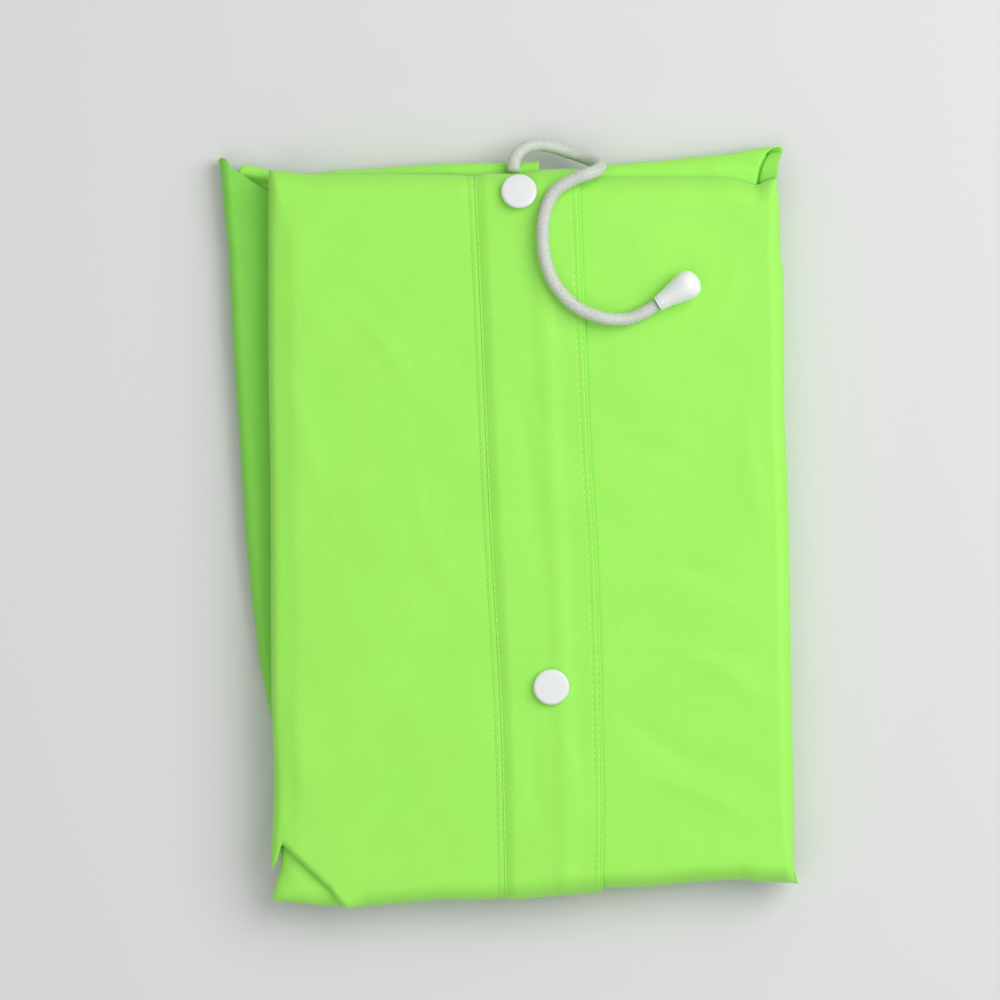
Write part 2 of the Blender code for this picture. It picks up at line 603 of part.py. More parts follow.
# Cloth pieces: how each gets its thickness, its point function, and its grid's columns and rows
Laid = namedtuple("Laid", "name build point columns rows")
CLOTHS = (
    Laid("front_left", nested_cloth, lambda c, s, deep: front_point(-1, c, s, deep), 17, 23),
    Laid("front_right", nested_cloth, lambda c, s, deep: front_point(1, 1 - c, s, deep), 17, 23),
    Laid("storm_flap", cloth, flap_point, 7, 23),
    Laid("sleeve_strip", cloth, sleeve_point, 12, 18),
    Laid("sleeve_ear", cloth, ear_point, 8, 8),
    Laid("hood_back", cloth, hood_back_point, 10, 10),
    Laid("hood_roll", cloth, hood_roll_point, 10, 12),
    Laid("hood_inner", cloth, hood_inner_point, 8, 12),
    Laid("hem_corner", nested_cloth, corner_point, 12, 12),
    Laid("hem_ear", cloth, hem_ear_point, 4, 4),
)


def main():
    for old in list(bpy.data.objects):
        bpy.data.objects.remove(old, do_unlink=True)
    group = collection()
    lime = material("lime_cloth", LIME, 0.42, 0.2)
    shade = material("lime_cloth_inside", LIME_SHADE, 0.5, 0.2)
    white = material("white_stud", WHITE, 0.3)
    moulded = material("white_end", WHITE, 0.35)
    braid = material("braided_cord", OFF_WHITE, 0.8, 0.3)

    stack("folded_layers", shade, group)
    for piece in CLOTHS:
        piece.build(piece.name, piece.point, piece.columns, piece.rows, lime, group)
    for name in STUDS:
        stud(name, white, group)
    points = smooth(cord_route())
    tube("drawstring", points, CORD_WIDE, braid, group)
    moulded_end("cord_end", points, moulded, group)
    length = sum(hypot(*(b - a)) for a, b in zip(points, points[1:]))
    print(f"drawstring {length:.1f} mm in {len(points)} points")


main()
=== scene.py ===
# %% [markdown]
# # A folded high-visibility raincoat
# The coat lies folded flat, front uppermost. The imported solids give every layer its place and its
# main shape. This script dresses them: thin cloth over each solid, stitches, a braided cord and
# moulded snaps. It starts from the fixed frame, so nothing here moves or resizes a solid.

# %% Load the frame
from collections import namedtuple
from functools import partial
from math import cos, pi, radians, sin

import bpy
import numpy as np
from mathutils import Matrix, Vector


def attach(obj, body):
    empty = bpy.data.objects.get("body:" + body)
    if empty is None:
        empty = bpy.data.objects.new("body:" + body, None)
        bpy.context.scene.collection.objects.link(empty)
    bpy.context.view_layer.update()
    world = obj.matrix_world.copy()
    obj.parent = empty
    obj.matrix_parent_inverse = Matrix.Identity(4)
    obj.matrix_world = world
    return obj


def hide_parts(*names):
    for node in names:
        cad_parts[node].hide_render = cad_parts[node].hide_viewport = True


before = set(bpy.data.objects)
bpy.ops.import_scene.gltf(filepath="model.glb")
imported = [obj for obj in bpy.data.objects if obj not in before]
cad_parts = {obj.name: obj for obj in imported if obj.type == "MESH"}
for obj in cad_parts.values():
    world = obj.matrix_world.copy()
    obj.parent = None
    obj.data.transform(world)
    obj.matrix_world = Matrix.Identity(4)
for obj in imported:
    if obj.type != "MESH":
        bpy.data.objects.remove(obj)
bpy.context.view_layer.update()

MM = 0.001

# %% [markdown]
# ## The camera
# The coat was pictured from straight above, so a long lens high over it gives the same flat view,
# with very little of the packet's sides. The picture's middle isn't quite the packet's middle.

# %% Camera
PICTURE_WIDE = 420.0  # what the picture's width spans at the level below
PICTURE_LEVEL = 13.0
PICTURE_MIDDLE = (-3.15, 10.9)
CAMERA_HIGH = 3000.0
SENSOR = 36.0


def add_object(name, data, place=(0, 0, 0)):
    """A new object in the scene, its place in metres."""
    made = bpy.data.objects.new(name, data)
    made.location = place
    bpy.context.scene.collection.objects.link(made)
    return made


def add_camera():
    data = bpy.data.cameras.new("camera")
    data.sensor_width = SENSOR
    data.lens = SENSOR * (CAMERA_HIGH - PICTURE_LEVEL) / PICTURE_WIDE
    data.clip_end = 20.0
    made = add_object("camera", data, Vector((*PICTURE_MIDDLE, CAMERA_HIGH)) * MM)
    bpy.context.scene.camera = made
    return made


camera = add_camera()
print("lens:", round(camera.data.lens, 1), "mm")

# %% [markdown]
# ## Reading an edge from a short table
# Every fold and seam is a curve known at a few places. A cubic through them gives cloth's easy line
# where straight pieces would show corners. Its slope at a row is the harmonic mean of the slopes
# beside it, and level where they turn back, so a held edge doesn't swing out between two places.

# %% Edges and blends


def cubic(t, a, b, leaves, enters):
    """A curve from a (t 0) to b (t 1), with the slopes that it leaves and enters with."""
    return (
        (2 * t**3 - 3 * t**2 + 1) * a + (t**3 - 2 * t**2 + t) * leaves
        + (3 * t**2 - 2 * t**3) * b + (t**3 - t**2) * enters)


def edge(table, at):
    """A table's value at each place in at, on a smooth curve that never swings past its rows."""
    rows = np.array(table, float)
    x, y = rows[:, 0], rows[:, 1]
    steep = np.diff(y) / np.diff(x)
    before, after = steep[:-1], steep[1:]
    level = before * after <= 0
    between = np.where(level, 0.0, 2 * before * after / np.where(level, 1.0, before + after))
    slope = np.concatenate([steep[:1], between, steep[-1:]])
    at = np.clip(at, x[0], x[-1])
    i = np.clip(np.searchsorted(x, at, side="right") - 1, 0, len(x) - 2)
    wide = x[i + 1] - x[i]
    return cubic((at - x[i]) / wide, y[i], y[i + 1], wide * slope[i], wide * slope[i + 1])


def corner_edge(table, at):
    """The same with straight stretches, for an edge that has real corners."""
    rows = np.array(table, float)
    return np.interp(at, rows[:, 0], rows[:, 1])


def mix(a, b, share):
    return a + (b - a) * share


def held(share):
    return np.clip(share, 0, 1)


def ramp(start, end, at):
    """Rises smoothly from 0 at start to 1 at end."""
    t = held((at - start) / (end - start))
    return t * t * (3 - 2 * t)


def hump(off, half):
    """A bell curve: 1 where off is nought, and low beyond its half width."""
    return np.exp(-((off / half) ** 2))


def along_line(line):
    """The distance along a line of points, at each of them."""
    steps = np.linalg.norm(np.diff(line, axis=0), axis=1)
    return np.concatenate([[0.0], np.cumsum(steps)])


def at_distance(line, places):
    """The points of a line at given distances along it."""
    along = along_line(line)
    return np.stack([np.interp(places, along, line[:, k]) for k in range(3)], axis=1)


print("ramp halfway:", ramp(0.0, 1.0, 0.5), "hump at its half width:", round(hump(1.0, 1.0), 2))

# %% [markdown]
# ## The packet's own sizes
# The two fronts cover the packet and fold down round its sides. Its top swells a little in the
# middle, and its ends round over. These tables hold where the folds and ends lie, in millimetres.

# %% Packet sizes
CLOTH_THICK = 0.5
GAP, SOLID_WALL, SIDE_GAP = 0.3, 1.3, 0.5
TOP, CROWN = 25.0, 1.0
CROWN_HALF = (112.0, 150.0)
LEFT_LIP, RIGHT_LIP = 12.0, 9.0
LEFT_REACH, RIGHT_REACH = 12.0, 6.5
TUCK = 0.93 * pi
HEAD_ROUND, END_KEEP, END_SHARE = 11.0, 0.34, 0.2
END_EASE, TIGHTEST = 34.0, 2.1
RIDGE_HIGH, RIDGE_HALF, RIDGE_AT = 0.7, 4.0, 0.62
ROUND_SHARE = 0.4
LIP_CHANGE = 40.0
LEFT_FOLD = (
    (-157.0, -98.9), (-143.0, -99.0), (-115.0, -97.7), (-73.0, -99.0),
    (11.0, -99.3), (74.0, -100.2), (147.5, -100.2),
)
RIGHT_FOLD = (
    (-150.0, 120.4), (-106.5, 119.9), (-69.0, 119.1), (-31.0, 118.6), (19.5, 117.4),
    (44.5, 116.2), (107.5, 115.7), (111.0, 114.7), (134.0, 114.1), (146.0, 112.8),
)
HEAD_FOLD = (
    (-100.6, 149.5), (-91.4, 148.7), (-82.0, 147.4), (-45.0, 147.6), (-20.0, 147.2),
    (-9.0, 146.0), (5.0, 146.0), (15.0, 147.6), (28.0, 147.8), (41.0, 146.6), (91.5, 146.4),
    (98.5, 144.9), (104.4, 143.2), (108.6, 144.9), (113.0, 146.2),
)
HEM_FOLD = (
    (-99.5, -145.5), (-96.5, -140.0), (-94.5, -133.5), (-87.0, -140.3), (-79.0, -147.8),
    (-74.0, -152.5), (-70.5, -157.5), (-67.0, -160.3), (-57.0, -159.4), (-27.0, -156.7),
    (-11.5, -157.1), (13.5, -154.0), (39.0, -152.0), (59.0, -151.6), (79.0, -149.5),
    (99.0, -148.3), (104.5, -149.5), (120.0, -149.9),
)
HEM_CLOSE = ((-67.5, 3.4, 0.8), (-60.0, 8.0, END_KEEP))  # x, the hem's round there, the height kept
FLAP_SEAM = (
    (-153.0, -1.0), (-94.0, -2.3), (-48.0, -4.4), (-14.0, -6.5), (36.0, -9.0),
    (95.0, -11.5), (149.5, -14.1),
)
FLAP_FREE = (
    (-153.0, 39.7), (-128.0, 40.1), (-73.0, 39.3), (-18.5, 37.6), (32.0, 34.6),
    (82.0, 32.5), (145.0, 30.0),
)
FLAP_EASE, FLAP_LIFT, FLAP_OVERHANG = 0.25, 0.5, 1.1


def cloth_top(x, y):
    """Height of the fronts' face, with its swell and the hidden front edge's ridge."""
    across, along = x / CROWN_HALF[0], y / CROWN_HALF[1]
    swell = CROWN * held(1 - across**2) * held(1 - along**2)
    middle = mix(edge(FLAP_SEAM, y), edge(FLAP_FREE, y), RIDGE_AT)
    return TOP + swell + RIDGE_HIGH * hump(x - middle, RIDGE_HALF)


def end_row(s, hem, head, rounds, keeps=(1.0, 1.0)):
    """The place of row s between two ends, and the share of height it keeps on their rounds."""
    low = held(s / END_SHARE) * pi / 2
    high = held((1 - s) / END_SHARE) * pi / 2
    share = held((s - END_SHARE) / (1 - 2 * END_SHARE))
    place = mix(hem + rounds[0], head - rounds[1], share)
    place = np.where(s < END_SHARE, hem + rounds[0] * (1 - np.cos(low)), place)
    place = np.where(s > 1 - END_SHARE, head - rounds[1] * (1 - np.cos(high)), place)
    keep = (1 - (1 - keeps[0]) * (1 - np.sin(low))) * (1 - (1 - keeps[1]) * (1 - np.sin(high)))
    return place, keep


def packet_row(s, x, deep=0.0):
    """The row s of the fronts at x, deep under their outer face: its y and the height it keeps."""
    close = np.array(HEM_CLOSE)
    wide = np.interp(x, close[:, 0], close[:, 1])
    keep = np.interp(x, close[:, 0], close[:, 2])
    hem, head = corner_edge(HEM_FOLD, x) + deep, edge(HEAD_FOLD, x) - deep
    return end_row(s, hem, head, (wide - deep, HEAD_ROUND - deep), (keep, END_KEEP))


def inner_keep(keep, end, tall, deep):
    """The share of its height that the inner face keeps where the outer face keeps that share."""
    return 1 - (1 - keep) / (1 - end) * (tall * (1 - end) - deep) / (tall - 2 * deep)


def eased(reach, high, lip, keep):
    """A fold's width, less where it is flattened, so that its round stays open."""
    half = (high - lip) / 2 * keep
    return np.minimum(reach, half * half / TIGHTEST)


def fold(turn, out, reach, high, lip):
    """A fold's round, from its crown (turn 0) to its tucked lip, as (place, height)."""
    return out + reach * (1 - np.sin(turn)), lip + (high - lip) * (1 + np.cos(turn)) / 2


def point(x, y, z):
    return np.stack(np.broadcast_arrays(x, y, z), axis=-1).astype(float)


print("packet:", round(edge(RIGHT_FOLD, 0) - edge(LEFT_FOLD, 0)), "mm between its side folds")

# %% [markdown]
# ## The faces that the layers follow
# Each piece of cloth is a function of two shares: c goes across it and s along it. A front starts at
# its tucked lip, turns round the side fold and runs flat to the middle. The flap is the same face
# moved outward, so it stays in touch with the fronts wherever they swell.

# %% Fronts and flap


def front_point(side, c, s, deep=0.0):
    """A front's outer face, c from its tucked lip (0) to the packet's middle (1), deep inside it."""
    level = packet_row(s, 0.0)[0]
    left = (LEFT_FOLD, LEFT_REACH, LEFT_LIP)
    right = (RIGHT_FOLD, RIGHT_REACH, RIGHT_LIP)
    table, reach, lip = left if side < 0 else right
    out = edge(table, level)
    inside = np.minimum(level - packet_row(0.0, 0.0)[0], packet_row(1.0, 0.0)[0] - level)
    near = np.where(s < 0.5, 0.0, 1.0)
    tight = eased(reach, TOP, lip, packet_row(near, out)[1])
    reach = mix(tight, reach, held(inside / END_EASE))
    crown_x = out - side * reach
    turn = TUCK * (1 - held(c / ROUND_SHARE))
    high = cloth_top(crown_x, level) - deep
    fold_x, fold_z = fold(turn, out - side * deep, -side * (reach - deep), high, lip + deep)
    middle = mix(edge(FLAP_SEAM, level), edge(FLAP_FREE, level), 0.5) + side * SIDE_GAP
    flat_x = mix(crown_x, middle, held((c - ROUND_SHARE) / (1 - ROUND_SHARE)))
    x = np.where(c < ROUND_SHARE, fold_x, flat_x)
    z = np.where(c < ROUND_SHARE, fold_z, cloth_top(flat_x, level) - deep)
    y, keep = packet_row(s, x, deep)
    low = lip + deep
    return point(x, y, low + (z - low) * inner_keep(keep, packet_row(near, x)[1], TOP - lip, deep))


def over_front(x, s, out):
    """A point that lies out from the fronts' surface, over both of them."""

    def surface(x, s):
        y, keep = packet_row(s, x)
        lip = mix(LEFT_LIP, RIGHT_LIP, held(x / LIP_CHANGE))
        return point(x, y, lip + (cloth_top(x, packet_row(s, 0.0)[0]) - lip) * keep)

    step_x, step_s = 0.5, 0.004
    a, b = held(s - step_s), held(s + step_s)
    normal = np.cross(surface(x + step_x, s) - surface(x - step_x, s), surface(x, b) - surface(x, a))
    normal /= np.linalg.norm(normal, axis=-1, keepdims=True)
    return surface(x, s) + normal * np.asarray(out)[..., None]


def flap_out(c):
    return GAP + SOLID_WALL + FLAP_EASE + FLAP_LIFT * held(c) ** 4


def over_height(x, y):
    """Height of the flap's or the fronts' outer face at (x, y)."""
    seam, free = edge(FLAP_SEAM, y), edge(FLAP_FREE, y)
    c = (x - seam) / (free - seam)
    out = np.where((c > 0) & (c < FLAP_OVERHANG), flap_out(c), 0.0)
    share = held(1 - (edge(HEAD_FOLD, x) + out - y) / HEAD_ROUND)
    keep = 1 - (1 - END_KEEP) * (1 - np.sqrt(1 - share**2))
    return LEFT_LIP + (cloth_top(x, y) - LEFT_LIP) * keep + out


print("flap:", round(float(edge(FLAP_FREE, 0) - edge(FLAP_SEAM, 0)), 1), "mm wide")

# %% [markdown]
# ## The drawstring's route
# The hood's cord leaves from under the top fold, makes a small loop past the hood, comes back over
# the fold and lies on the right front in a hook. The whole free end shows, so what shows is its
# length. The points are those of the solid, and a smooth curve runs through them.

# %% Drawstring route
CORD_WIDE = 5.5
CORD_LIFT = 0.95
CORD_LOOP = (
    (2.7, 148.6, 17.6), (3.0, 153.6, 15.4), (6.3, 158.0, 12.8), (12.2, 160.1, 10.6),
    (18.8, 159.4, 9.2), (25.2, 157.4, 8.9), (31.4, 155.2, 10.1), (36.4, 153.0, 14.0),
    (38.8, 150.8, 20.2), (37.5, 148.8, 26.4),
)
CORD_OVER = (33.2, 146.9, 30.6)
CORD_LAID = (
    (26.4, 144.2), (19.4, 139.2), (15.5, 130.4), (14.7, 120.4), (16.0, 110.2), (20.2, 100.4),
    (28.2, 91.9), (38.6, 87.2), (49.2, 86.4), (57.0, 89.2), (62.4, 92.6),
)
CORD_RINGS_A_MM = 2.2  # rings of the braid's mesh to each millimetre of cord
CORD_FEELS = (-2.5, 0.0, 2.5)  # how far round a point of the route the cloth's height is felt
CURVE_STEPS = 40


def cord_points():
    route = [*CORD_LOOP, CORD_OVER]
    for x, y in CORD_LAID:
        height = max(float(over_height(x + dx, y + dy)) for dx in CORD_FEELS for dy in CORD_FEELS)
        route.append((x, y, height + CORD_WIDE / 2 + CORD_LIFT))
    return np.array(route)


def smooth_line(points, count):
    """Evenly spaced points on a smooth curve through the given ones, and how long it is."""
    ends = np.vstack([2 * points[0] - points[1], points, 2 * points[-1] - points[-2]])
    fine = []
    for before, a, b, after in zip(ends, ends[1:], ends[2:], ends[3:]):
        t = np.linspace(0, 1, CURVE_STEPS, endpoint=False)[:, None]
        fine.append(cubic(t, a, b, (b - before) / 2, (after - a) / 2))
    fine = np.vstack([*fine, points[-1:]])
    long = along_line(fine)[-1]
    return at_distance(fine, np.linspace(0, long, count)), long


_, CORD_LONG = smooth_line(cord_points(), 2)
cord_line, _ = smooth_line(cord_points(), int(CORD_LONG * CORD_RINGS_A_MM))
print("cord:", round(CORD_LONG, 1), "mm in", len(cord_line), "rings")

# %% [markdown]
# ## Sleeve, hood and the turned corners
# Behind the left front the sleeve shows as a long strip with a peaked head, and a second layer of it
# makes a small hollow ear. The hood is folded down behind the head end: its back stands a little
# above the fronts, and its right side is a roll whose open end shows an inner layer. At the hem the
# left front's corner is turned in, and a small ear of cloth sticks out at the right.

# %% Smaller layers
SLEEVE_TOP, SLEEVE_LIP, SLEEVE_REACH = 10.8, 1.5, 4.5
SLEEVE_UNDER, SLEEVE_HEM, SLEEVE_RISE = 8.0, -82.0, 0.3
SLEEVE_ROUNDS = (3.0, 2.5)
SLEEVE_FOLD = (
    (-92.0, -95.5), (-81.0, -99.4), (-56.0, -104.4), (-18.5, -108.6), (32.0, -112.4),
    (82.0, -115.7), (107.5, -117.0), (135.0, -119.5), (148.0, -120.8), (153.5, -121.6),
)
SLEEVE_HEAD = (
    (-121.6, 153.6), (-120.6, 154.9), (-118.4, 154.4), (-115.8, 149.9), (-112.8, 148.5),
    (-104.5, 142.8), (-100.8, 140.6), (-91.0, 136.0),
)
EAR_LEFT, EAR_RIGHT, EAR_FOOT = -113.6, -97.4, 140.4
EAR_HEAD = ((-113.6, 148.6), (-112.2, 151.0), (-110.0, 151.8), (-106.0, 151.0), (-97.0, 149.3))
EAR_LOW, EAR_RIM, EAR_SLOPE = 6.0, 8.0, 1.0
EAR_RISE = (0.3, 0.72)
EAR_DROP, EAR_DROP_FROM = 1.0, 0.78
HOOD_TOP, HOOD_LIP, HOOD_UNDER = 13.9, 3.4, 3.0
HOOD_FLAT, HOOD_REACH_MOST = 0.3, 0.8
BACK_DROP, BACK_SWELL = 1.2, 0.6
BACK_EDGE = (
    (-84.0, 148.0), (-74.0, 149.3), (-60.0, 150.2), (-42.0, 151.4), (-27.0, 152.3),
    (-11.5, 152.8), (13.2, 153.3),
)
ROLL_EDGE = (
    (37.0, 150.8), (44.0, 152.0), (64.0, 153.7), (79.0, 155.0), (89.0, 156.2),
    (99.0, 157.9), (109.5, 159.2), (115.0, 160.0),
)
BACK_REACH = ((-84.0, 3.0), (-60.0, 3.6), (13.2, 4.2))
ROLL_REACH = ((37.0, 4.2), (80.0, 7.5), (115.0, 11.0))
ROLL_END = ((0.0, 104.0), (0.3, 105.2), (0.5, 108.5), (0.7, 114.2), (0.8, 115.7), (1.0, 111.0))
INNER_LEFT, INNER_INSET, INNER_TOP, INNER_LIP = 88.0, 2.4, 11.2, 5.6
INNER_END, INNER_FROM, INNER_LEAN = 113.4, 151.0, 0.35
INNER_UNDER = ((88.0, 3.0), (104.6, 3.0), (108.4, -0.1), (117.0, -0.1))
CORNER_TOP, CORNER_REACH, CORNER_RIGHT, CORNER_HEAD = 21.3, 11.0, -66.0, -121.0
CORNER_TUCK = 0.62 * pi
CORNER_ROUNDS, CORNER_KEEPS = (7.0, 1.0), (0.45, 1.0)
CORNER_EDGE = ((-160.0, -98.9), (-156.0, -98.6), (-149.0, -96.9), (-142.0, -94.9), (-118.0, -94.5))
CORNER_HEM = (
    (-99.0, -157.0), (-87.0, -158.2), (-77.0, -159.3), (-70.5, -159.4), (-69.0, -157.0),
    (-66.0, -155.2),
)
HEM_EAR_CORNERS = (
    (113.5, -141.5, 7.6), (120.4, -142.2, 7.6), (122.3, -150.5, 8.6), (113.5, -149.4, 7.2),
)
HEM_EAR_CURL = 1.2


def sleeve_point(c, s, deep=0.0):
    """The sleeve's outer layer, c from its tucked lip (0) to where it goes under the front (1)."""
    level = end_row(s, SLEEVE_HEM, SLEEVE_FOLD[-1][0], SLEEVE_ROUNDS)[0]
    out = edge(SLEEVE_FOLD, level)
    turn = TUCK * (1 - held(2 * c))
    high, low = SLEEVE_TOP - deep, SLEEVE_LIP + deep
    fold_x, fold_z = fold(turn, out + deep, SLEEVE_REACH - deep, high, low)
    in_share = held(2 * c - 1)
    x = np.where(c < 0.5, fold_x, mix(out + SLEEVE_REACH, edge(LEFT_FOLD, level) + SLEEVE_UNDER, in_share))
    z = np.where(c < 0.5, fold_z, high + SLEEVE_RISE * in_share)
    y = end_row(s, SLEEVE_HEM, corner_edge(SLEEVE_HEAD, x), SLEEVE_ROUNDS)[0]
    return point(x, y, z)


def ear_point(c, s, deep=0.0):
    x = mix(EAR_LEFT, EAR_RIGHT, c)
    start, reached = EAR_RISE
    rise = held((s - start) / (reached - start))
    rim = mix(EAR_LOW, EAR_RIM, (1 - np.cos(rise * pi)) / 2)
    drop = EAR_DROP * held((s - EAR_DROP_FROM) / (1 - EAR_DROP_FROM)) ** 2
    return point(x, mix(EAR_FOOT, edge(EAR_HEAD, x), s), rim - drop - EAR_SLOPE * c - deep)


def hood_section(x, s, out, reach, high, lip, under, deep):
    """A hood layer at x, s from under the front (0) over its outer edge to its lip (1)."""
    inner = edge(HEAD_FOLD, x) - under
    reach = np.minimum(reach, HOOD_REACH_MOST * (out - inner))
    turn = TUCK * held((s - HOOD_FLAT) / (1 - HOOD_FLAT))
    fold_y, fold_z = fold(turn, out - deep, -(reach - deep), high - deep, lip + deep)
    flat_y = mix(inner, out - reach, held(s / HOOD_FLAT))
    return point(x, np.where(s < HOOD_FLAT, flat_y, fold_y), np.where(s < HOOD_FLAT, high - deep, fold_z))


def hood_back_point(c, s, deep=0.0):
    x = mix(BACK_EDGE[0][0], BACK_EDGE[-1][0], c)
    high = HOOD_TOP - BACK_DROP + BACK_SWELL * np.sin(c * pi)
    out, reach = edge(BACK_EDGE, x), edge(BACK_REACH, x)
    return hood_section(x, s, out, reach, high, HOOD_LIP, HOOD_UNDER, deep)


def hood_roll_point(c, s, deep=0.0):
    x = mix(ROLL_EDGE[0][0], edge(ROLL_END, s), c)
    out, reach = edge(ROLL_EDGE, x), edge(ROLL_REACH, x)
    return hood_section(x, s, out, reach, HOOD_TOP, HOOD_LIP, HOOD_UNDER, deep)


def hood_inner_point(c, s, deep=0.0):
    """The layer inside the roll, which shows in its open end."""

    def at(x):
        out, reach = edge(ROLL_EDGE, x) - INNER_INSET, edge(ROLL_REACH, x) - INNER_INSET
        return hood_section(x, s, out, reach, INNER_TOP, INNER_LIP, corner_edge(INNER_UNDER, x), deep)

    lean = np.clip(at(np.full(np.shape(s), INNER_END))[..., 1] - INNER_FROM, 0, None)
    return at(mix(INNER_LEFT, INNER_END + INNER_LEAN * lean, c))


def corner_point(c, s, deep=0.0):
    """The layer under the turned-in corner, c from its left side (0) to under the front (1)."""
    level = end_row(s, CORNER_HEM[0][1], CORNER_HEAD, CORNER_ROUNDS)[0]
    out = edge(CORNER_EDGE, level)
    outer_keep = end_row(s, corner_edge(CORNER_HEM, out), CORNER_HEAD, CORNER_ROUNDS, CORNER_KEEPS)[1]
    reach = eased(CORNER_REACH, CORNER_TOP, LEFT_LIP, outer_keep)
    low, high = LEFT_LIP + deep, CORNER_TOP - deep
    turn = CORNER_TUCK * (1 - held(2 * c))
    fold_x, fold_z = fold(turn, out + deep, reach - deep, high, low)
    x = np.where(c < 0.5, fold_x, mix(out + reach, CORNER_RIGHT, held(2 * c - 1)))
    z = np.where(c < 0.5, fold_z, high)
    rounds = (CORNER_ROUNDS[0] - deep, CORNER_ROUNDS[1])
    y, keep = end_row(s, corner_edge(CORNER_HEM, x) + deep, CORNER_HEAD, rounds, CORNER_KEEPS)
    return point(x, y, low + (z - low) * inner_keep(keep, CORNER_KEEPS[0], CORNER_TOP - LEFT_LIP, deep))


def hem_ear_point(c, s, deep=0.0):
    inner_head, outer_head, outer_hem, inner_hem = (np.array(p) for p in HEM_EAR_CORNERS)
    c3, s3 = np.asarray(c)[..., None], np.asarray(s)[..., None]
    place = mix(mix(inner_hem, outer_hem, c3), mix(inner_head, outer_head, c3), s3)
    place[..., 2] += HEM_EAR_CURL * c**3 - deep
    return place


hood_out = edge(ROLL_EDGE, 90) - edge(HEAD_FOLD, 90)
print("hood:", round(float(hood_out), 1), "mm past the top fold at its roll")

# %% [markdown]
# ## Creases placed one by one
# A coated cloth that has lain in a packet keeps soft, uneven creases. Each row is one crease: where it
# runs from and to, how far it bows sideways, its half width, and its height, below zero for a trough.
# The fronts and the flap share them, because a crease pressed into a packet goes through both.

# %% Creases
Crease = namedtuple("Crease", "x0 y0 x1 y1 bow half high")
CREASES = [Crease(*row) for row in (
    (-88, -92, -4, -50, 5, 5.5, -0.42), (-76, -112, 4, -72, -6, 6.5, 0.38),
    (-90, -14, -86, -74, -3, 5.0, -0.30), (-70, 94, -38, 54, 3, 4.0, 0.26),
    (-84, 118, -20, 128, -4, 7.0, -0.34), (-60, -132, -22, -96, 4, 4.0, -0.34),
    (-40, 20, -18, -34, -3, 5.0, 0.22), (-92, 60, -78, 6, 2, 4.5, 0.24),
    (44, -16, 112, -34, 6, 5.0, -0.36), (58, -50, 112, -76, 5, 5.0, 0.40),
    (46, -76, 104, -104, -6, 5.5, -0.40), (52, -104, 110, -128, 4, 4.5, 0.34),
    (50, 132, 108, 126, -3, 6.0, -0.34), (98, 118, 74, 70, 4, 4.5, 0.26),
    (46, 34, 86, 20, 3, 4.5, -0.26), (100, 52, 108, -8, -2, 4.5, 0.24), (4, 54, 10, -2, 2, 3.5, -0.20),
    (12, -84, 14, -126, -2, 3.0, -0.26), (24, -88, 28, -138, 3, 3.0, 0.22),
    (-4, -56, 38, -54, 1, 1.6, -0.16),
)]
CREASE_STRONG = 1.5
CREASE_GROWS = (0.75, 1.3)  # its half width from its start to its end, as shares
CREASE_STARTS, CREASE_STOPS = (-0.08, 0.3), (0.65, 1.08)  # where it comes and goes, as shares
PRESS_FOLDS = (4.6, -54.0)  # two straight lines across the packet, left by its last folding
PRESS_HALF, PRESS_DEEP, PRESS_SLANT = 1.6, 0.13, 0.012
SWELL_CROSSED = 1.7  # a swell's length across its way, in lengths along it
SWELLS = ((61.0, 0.4, 0.20), (43.0, 1.9, 0.14), (29.0, 3.1, 0.08))  # length, turn and height
STUD_CALM = 15.0  # the cloth lies calm this far round a stud
FOLD_CALM, FOLD_LEAST = 15.0, 0.18  # a fold holds its own edge straighter, down to this share
# Each stud's x and y, how far it leans in degrees, and how high its cap stands off the cloth
STUDS = {"stud_top": (4.8, 139.5, 17.0, 0.6), "stud_bottom": (18.3, -67.2, 0.0, 0.75)}


def crease_height(crease, x, y):
    """One crease's height at (x, y): a soft bank that fades out at both its ends."""
    run = np.array([crease.x1 - crease.x0, crease.y1 - crease.y0], float)
    long = np.hypot(*run)
    along = ((x - crease.x0) * run[0] + (y - crease.y0) * run[1]) / long**2
    aside = (-(x - crease.x0) * run[1] + (y - crease.y0) * run[0]) / long
    aside = aside - crease.bow * 4 * along * (1 - along)
    half = crease.half * mix(*CREASE_GROWS, held(along))
    fade = ramp(*CREASE_STARTS, along) * (1 - ramp(*CREASE_STOPS, along))
    return crease.high * fade * hump(aside, half)


def ripple(x, y, turn, long, start=0.0):
    """Waves that run in the direction turn, long from crest to crest."""
    return np.sin(2 * pi * (x * cos(turn) + y * sin(turn)) / long + start)


def rumple(x, y):
    """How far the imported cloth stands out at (x, y)."""
    high = CREASE_STRONG * sum(crease_height(crease, x, y) for crease in CREASES)
    for level in PRESS_FOLDS:
        high = high - PRESS_DEEP * hump(y - level - PRESS_SLANT * x, PRESS_HALF)
    for long, turn, tall in SWELLS:
        crossed = ripple(x, y, turn + pi / 2, SWELL_CROSSED * long)
        high = high + tall * ripple(x, y, turn, long, turn) * crossed
    calm = 1.0
    for stud_x, stud_y, _, _ in STUDS.values():
        calm = calm * (1 - hump(np.hypot(x - stud_x, y - stud_y), STUD_CALM))
    from_sides = np.minimum(x - edge(LEFT_FOLD, y), edge(RIGHT_FOLD, y) - x)
    from_ends = np.minimum(y - corner_edge(HEM_FOLD, x), edge(HEAD_FOLD, x) - y)
    calm = calm * mix(FOLD_LEAST, 1.0, ramp(0.0, FOLD_CALM, np.minimum(from_sides, from_ends)))
    return high * calm


print("creases:", len(CREASES), "and", len(PRESS_FOLDS), "press folds")

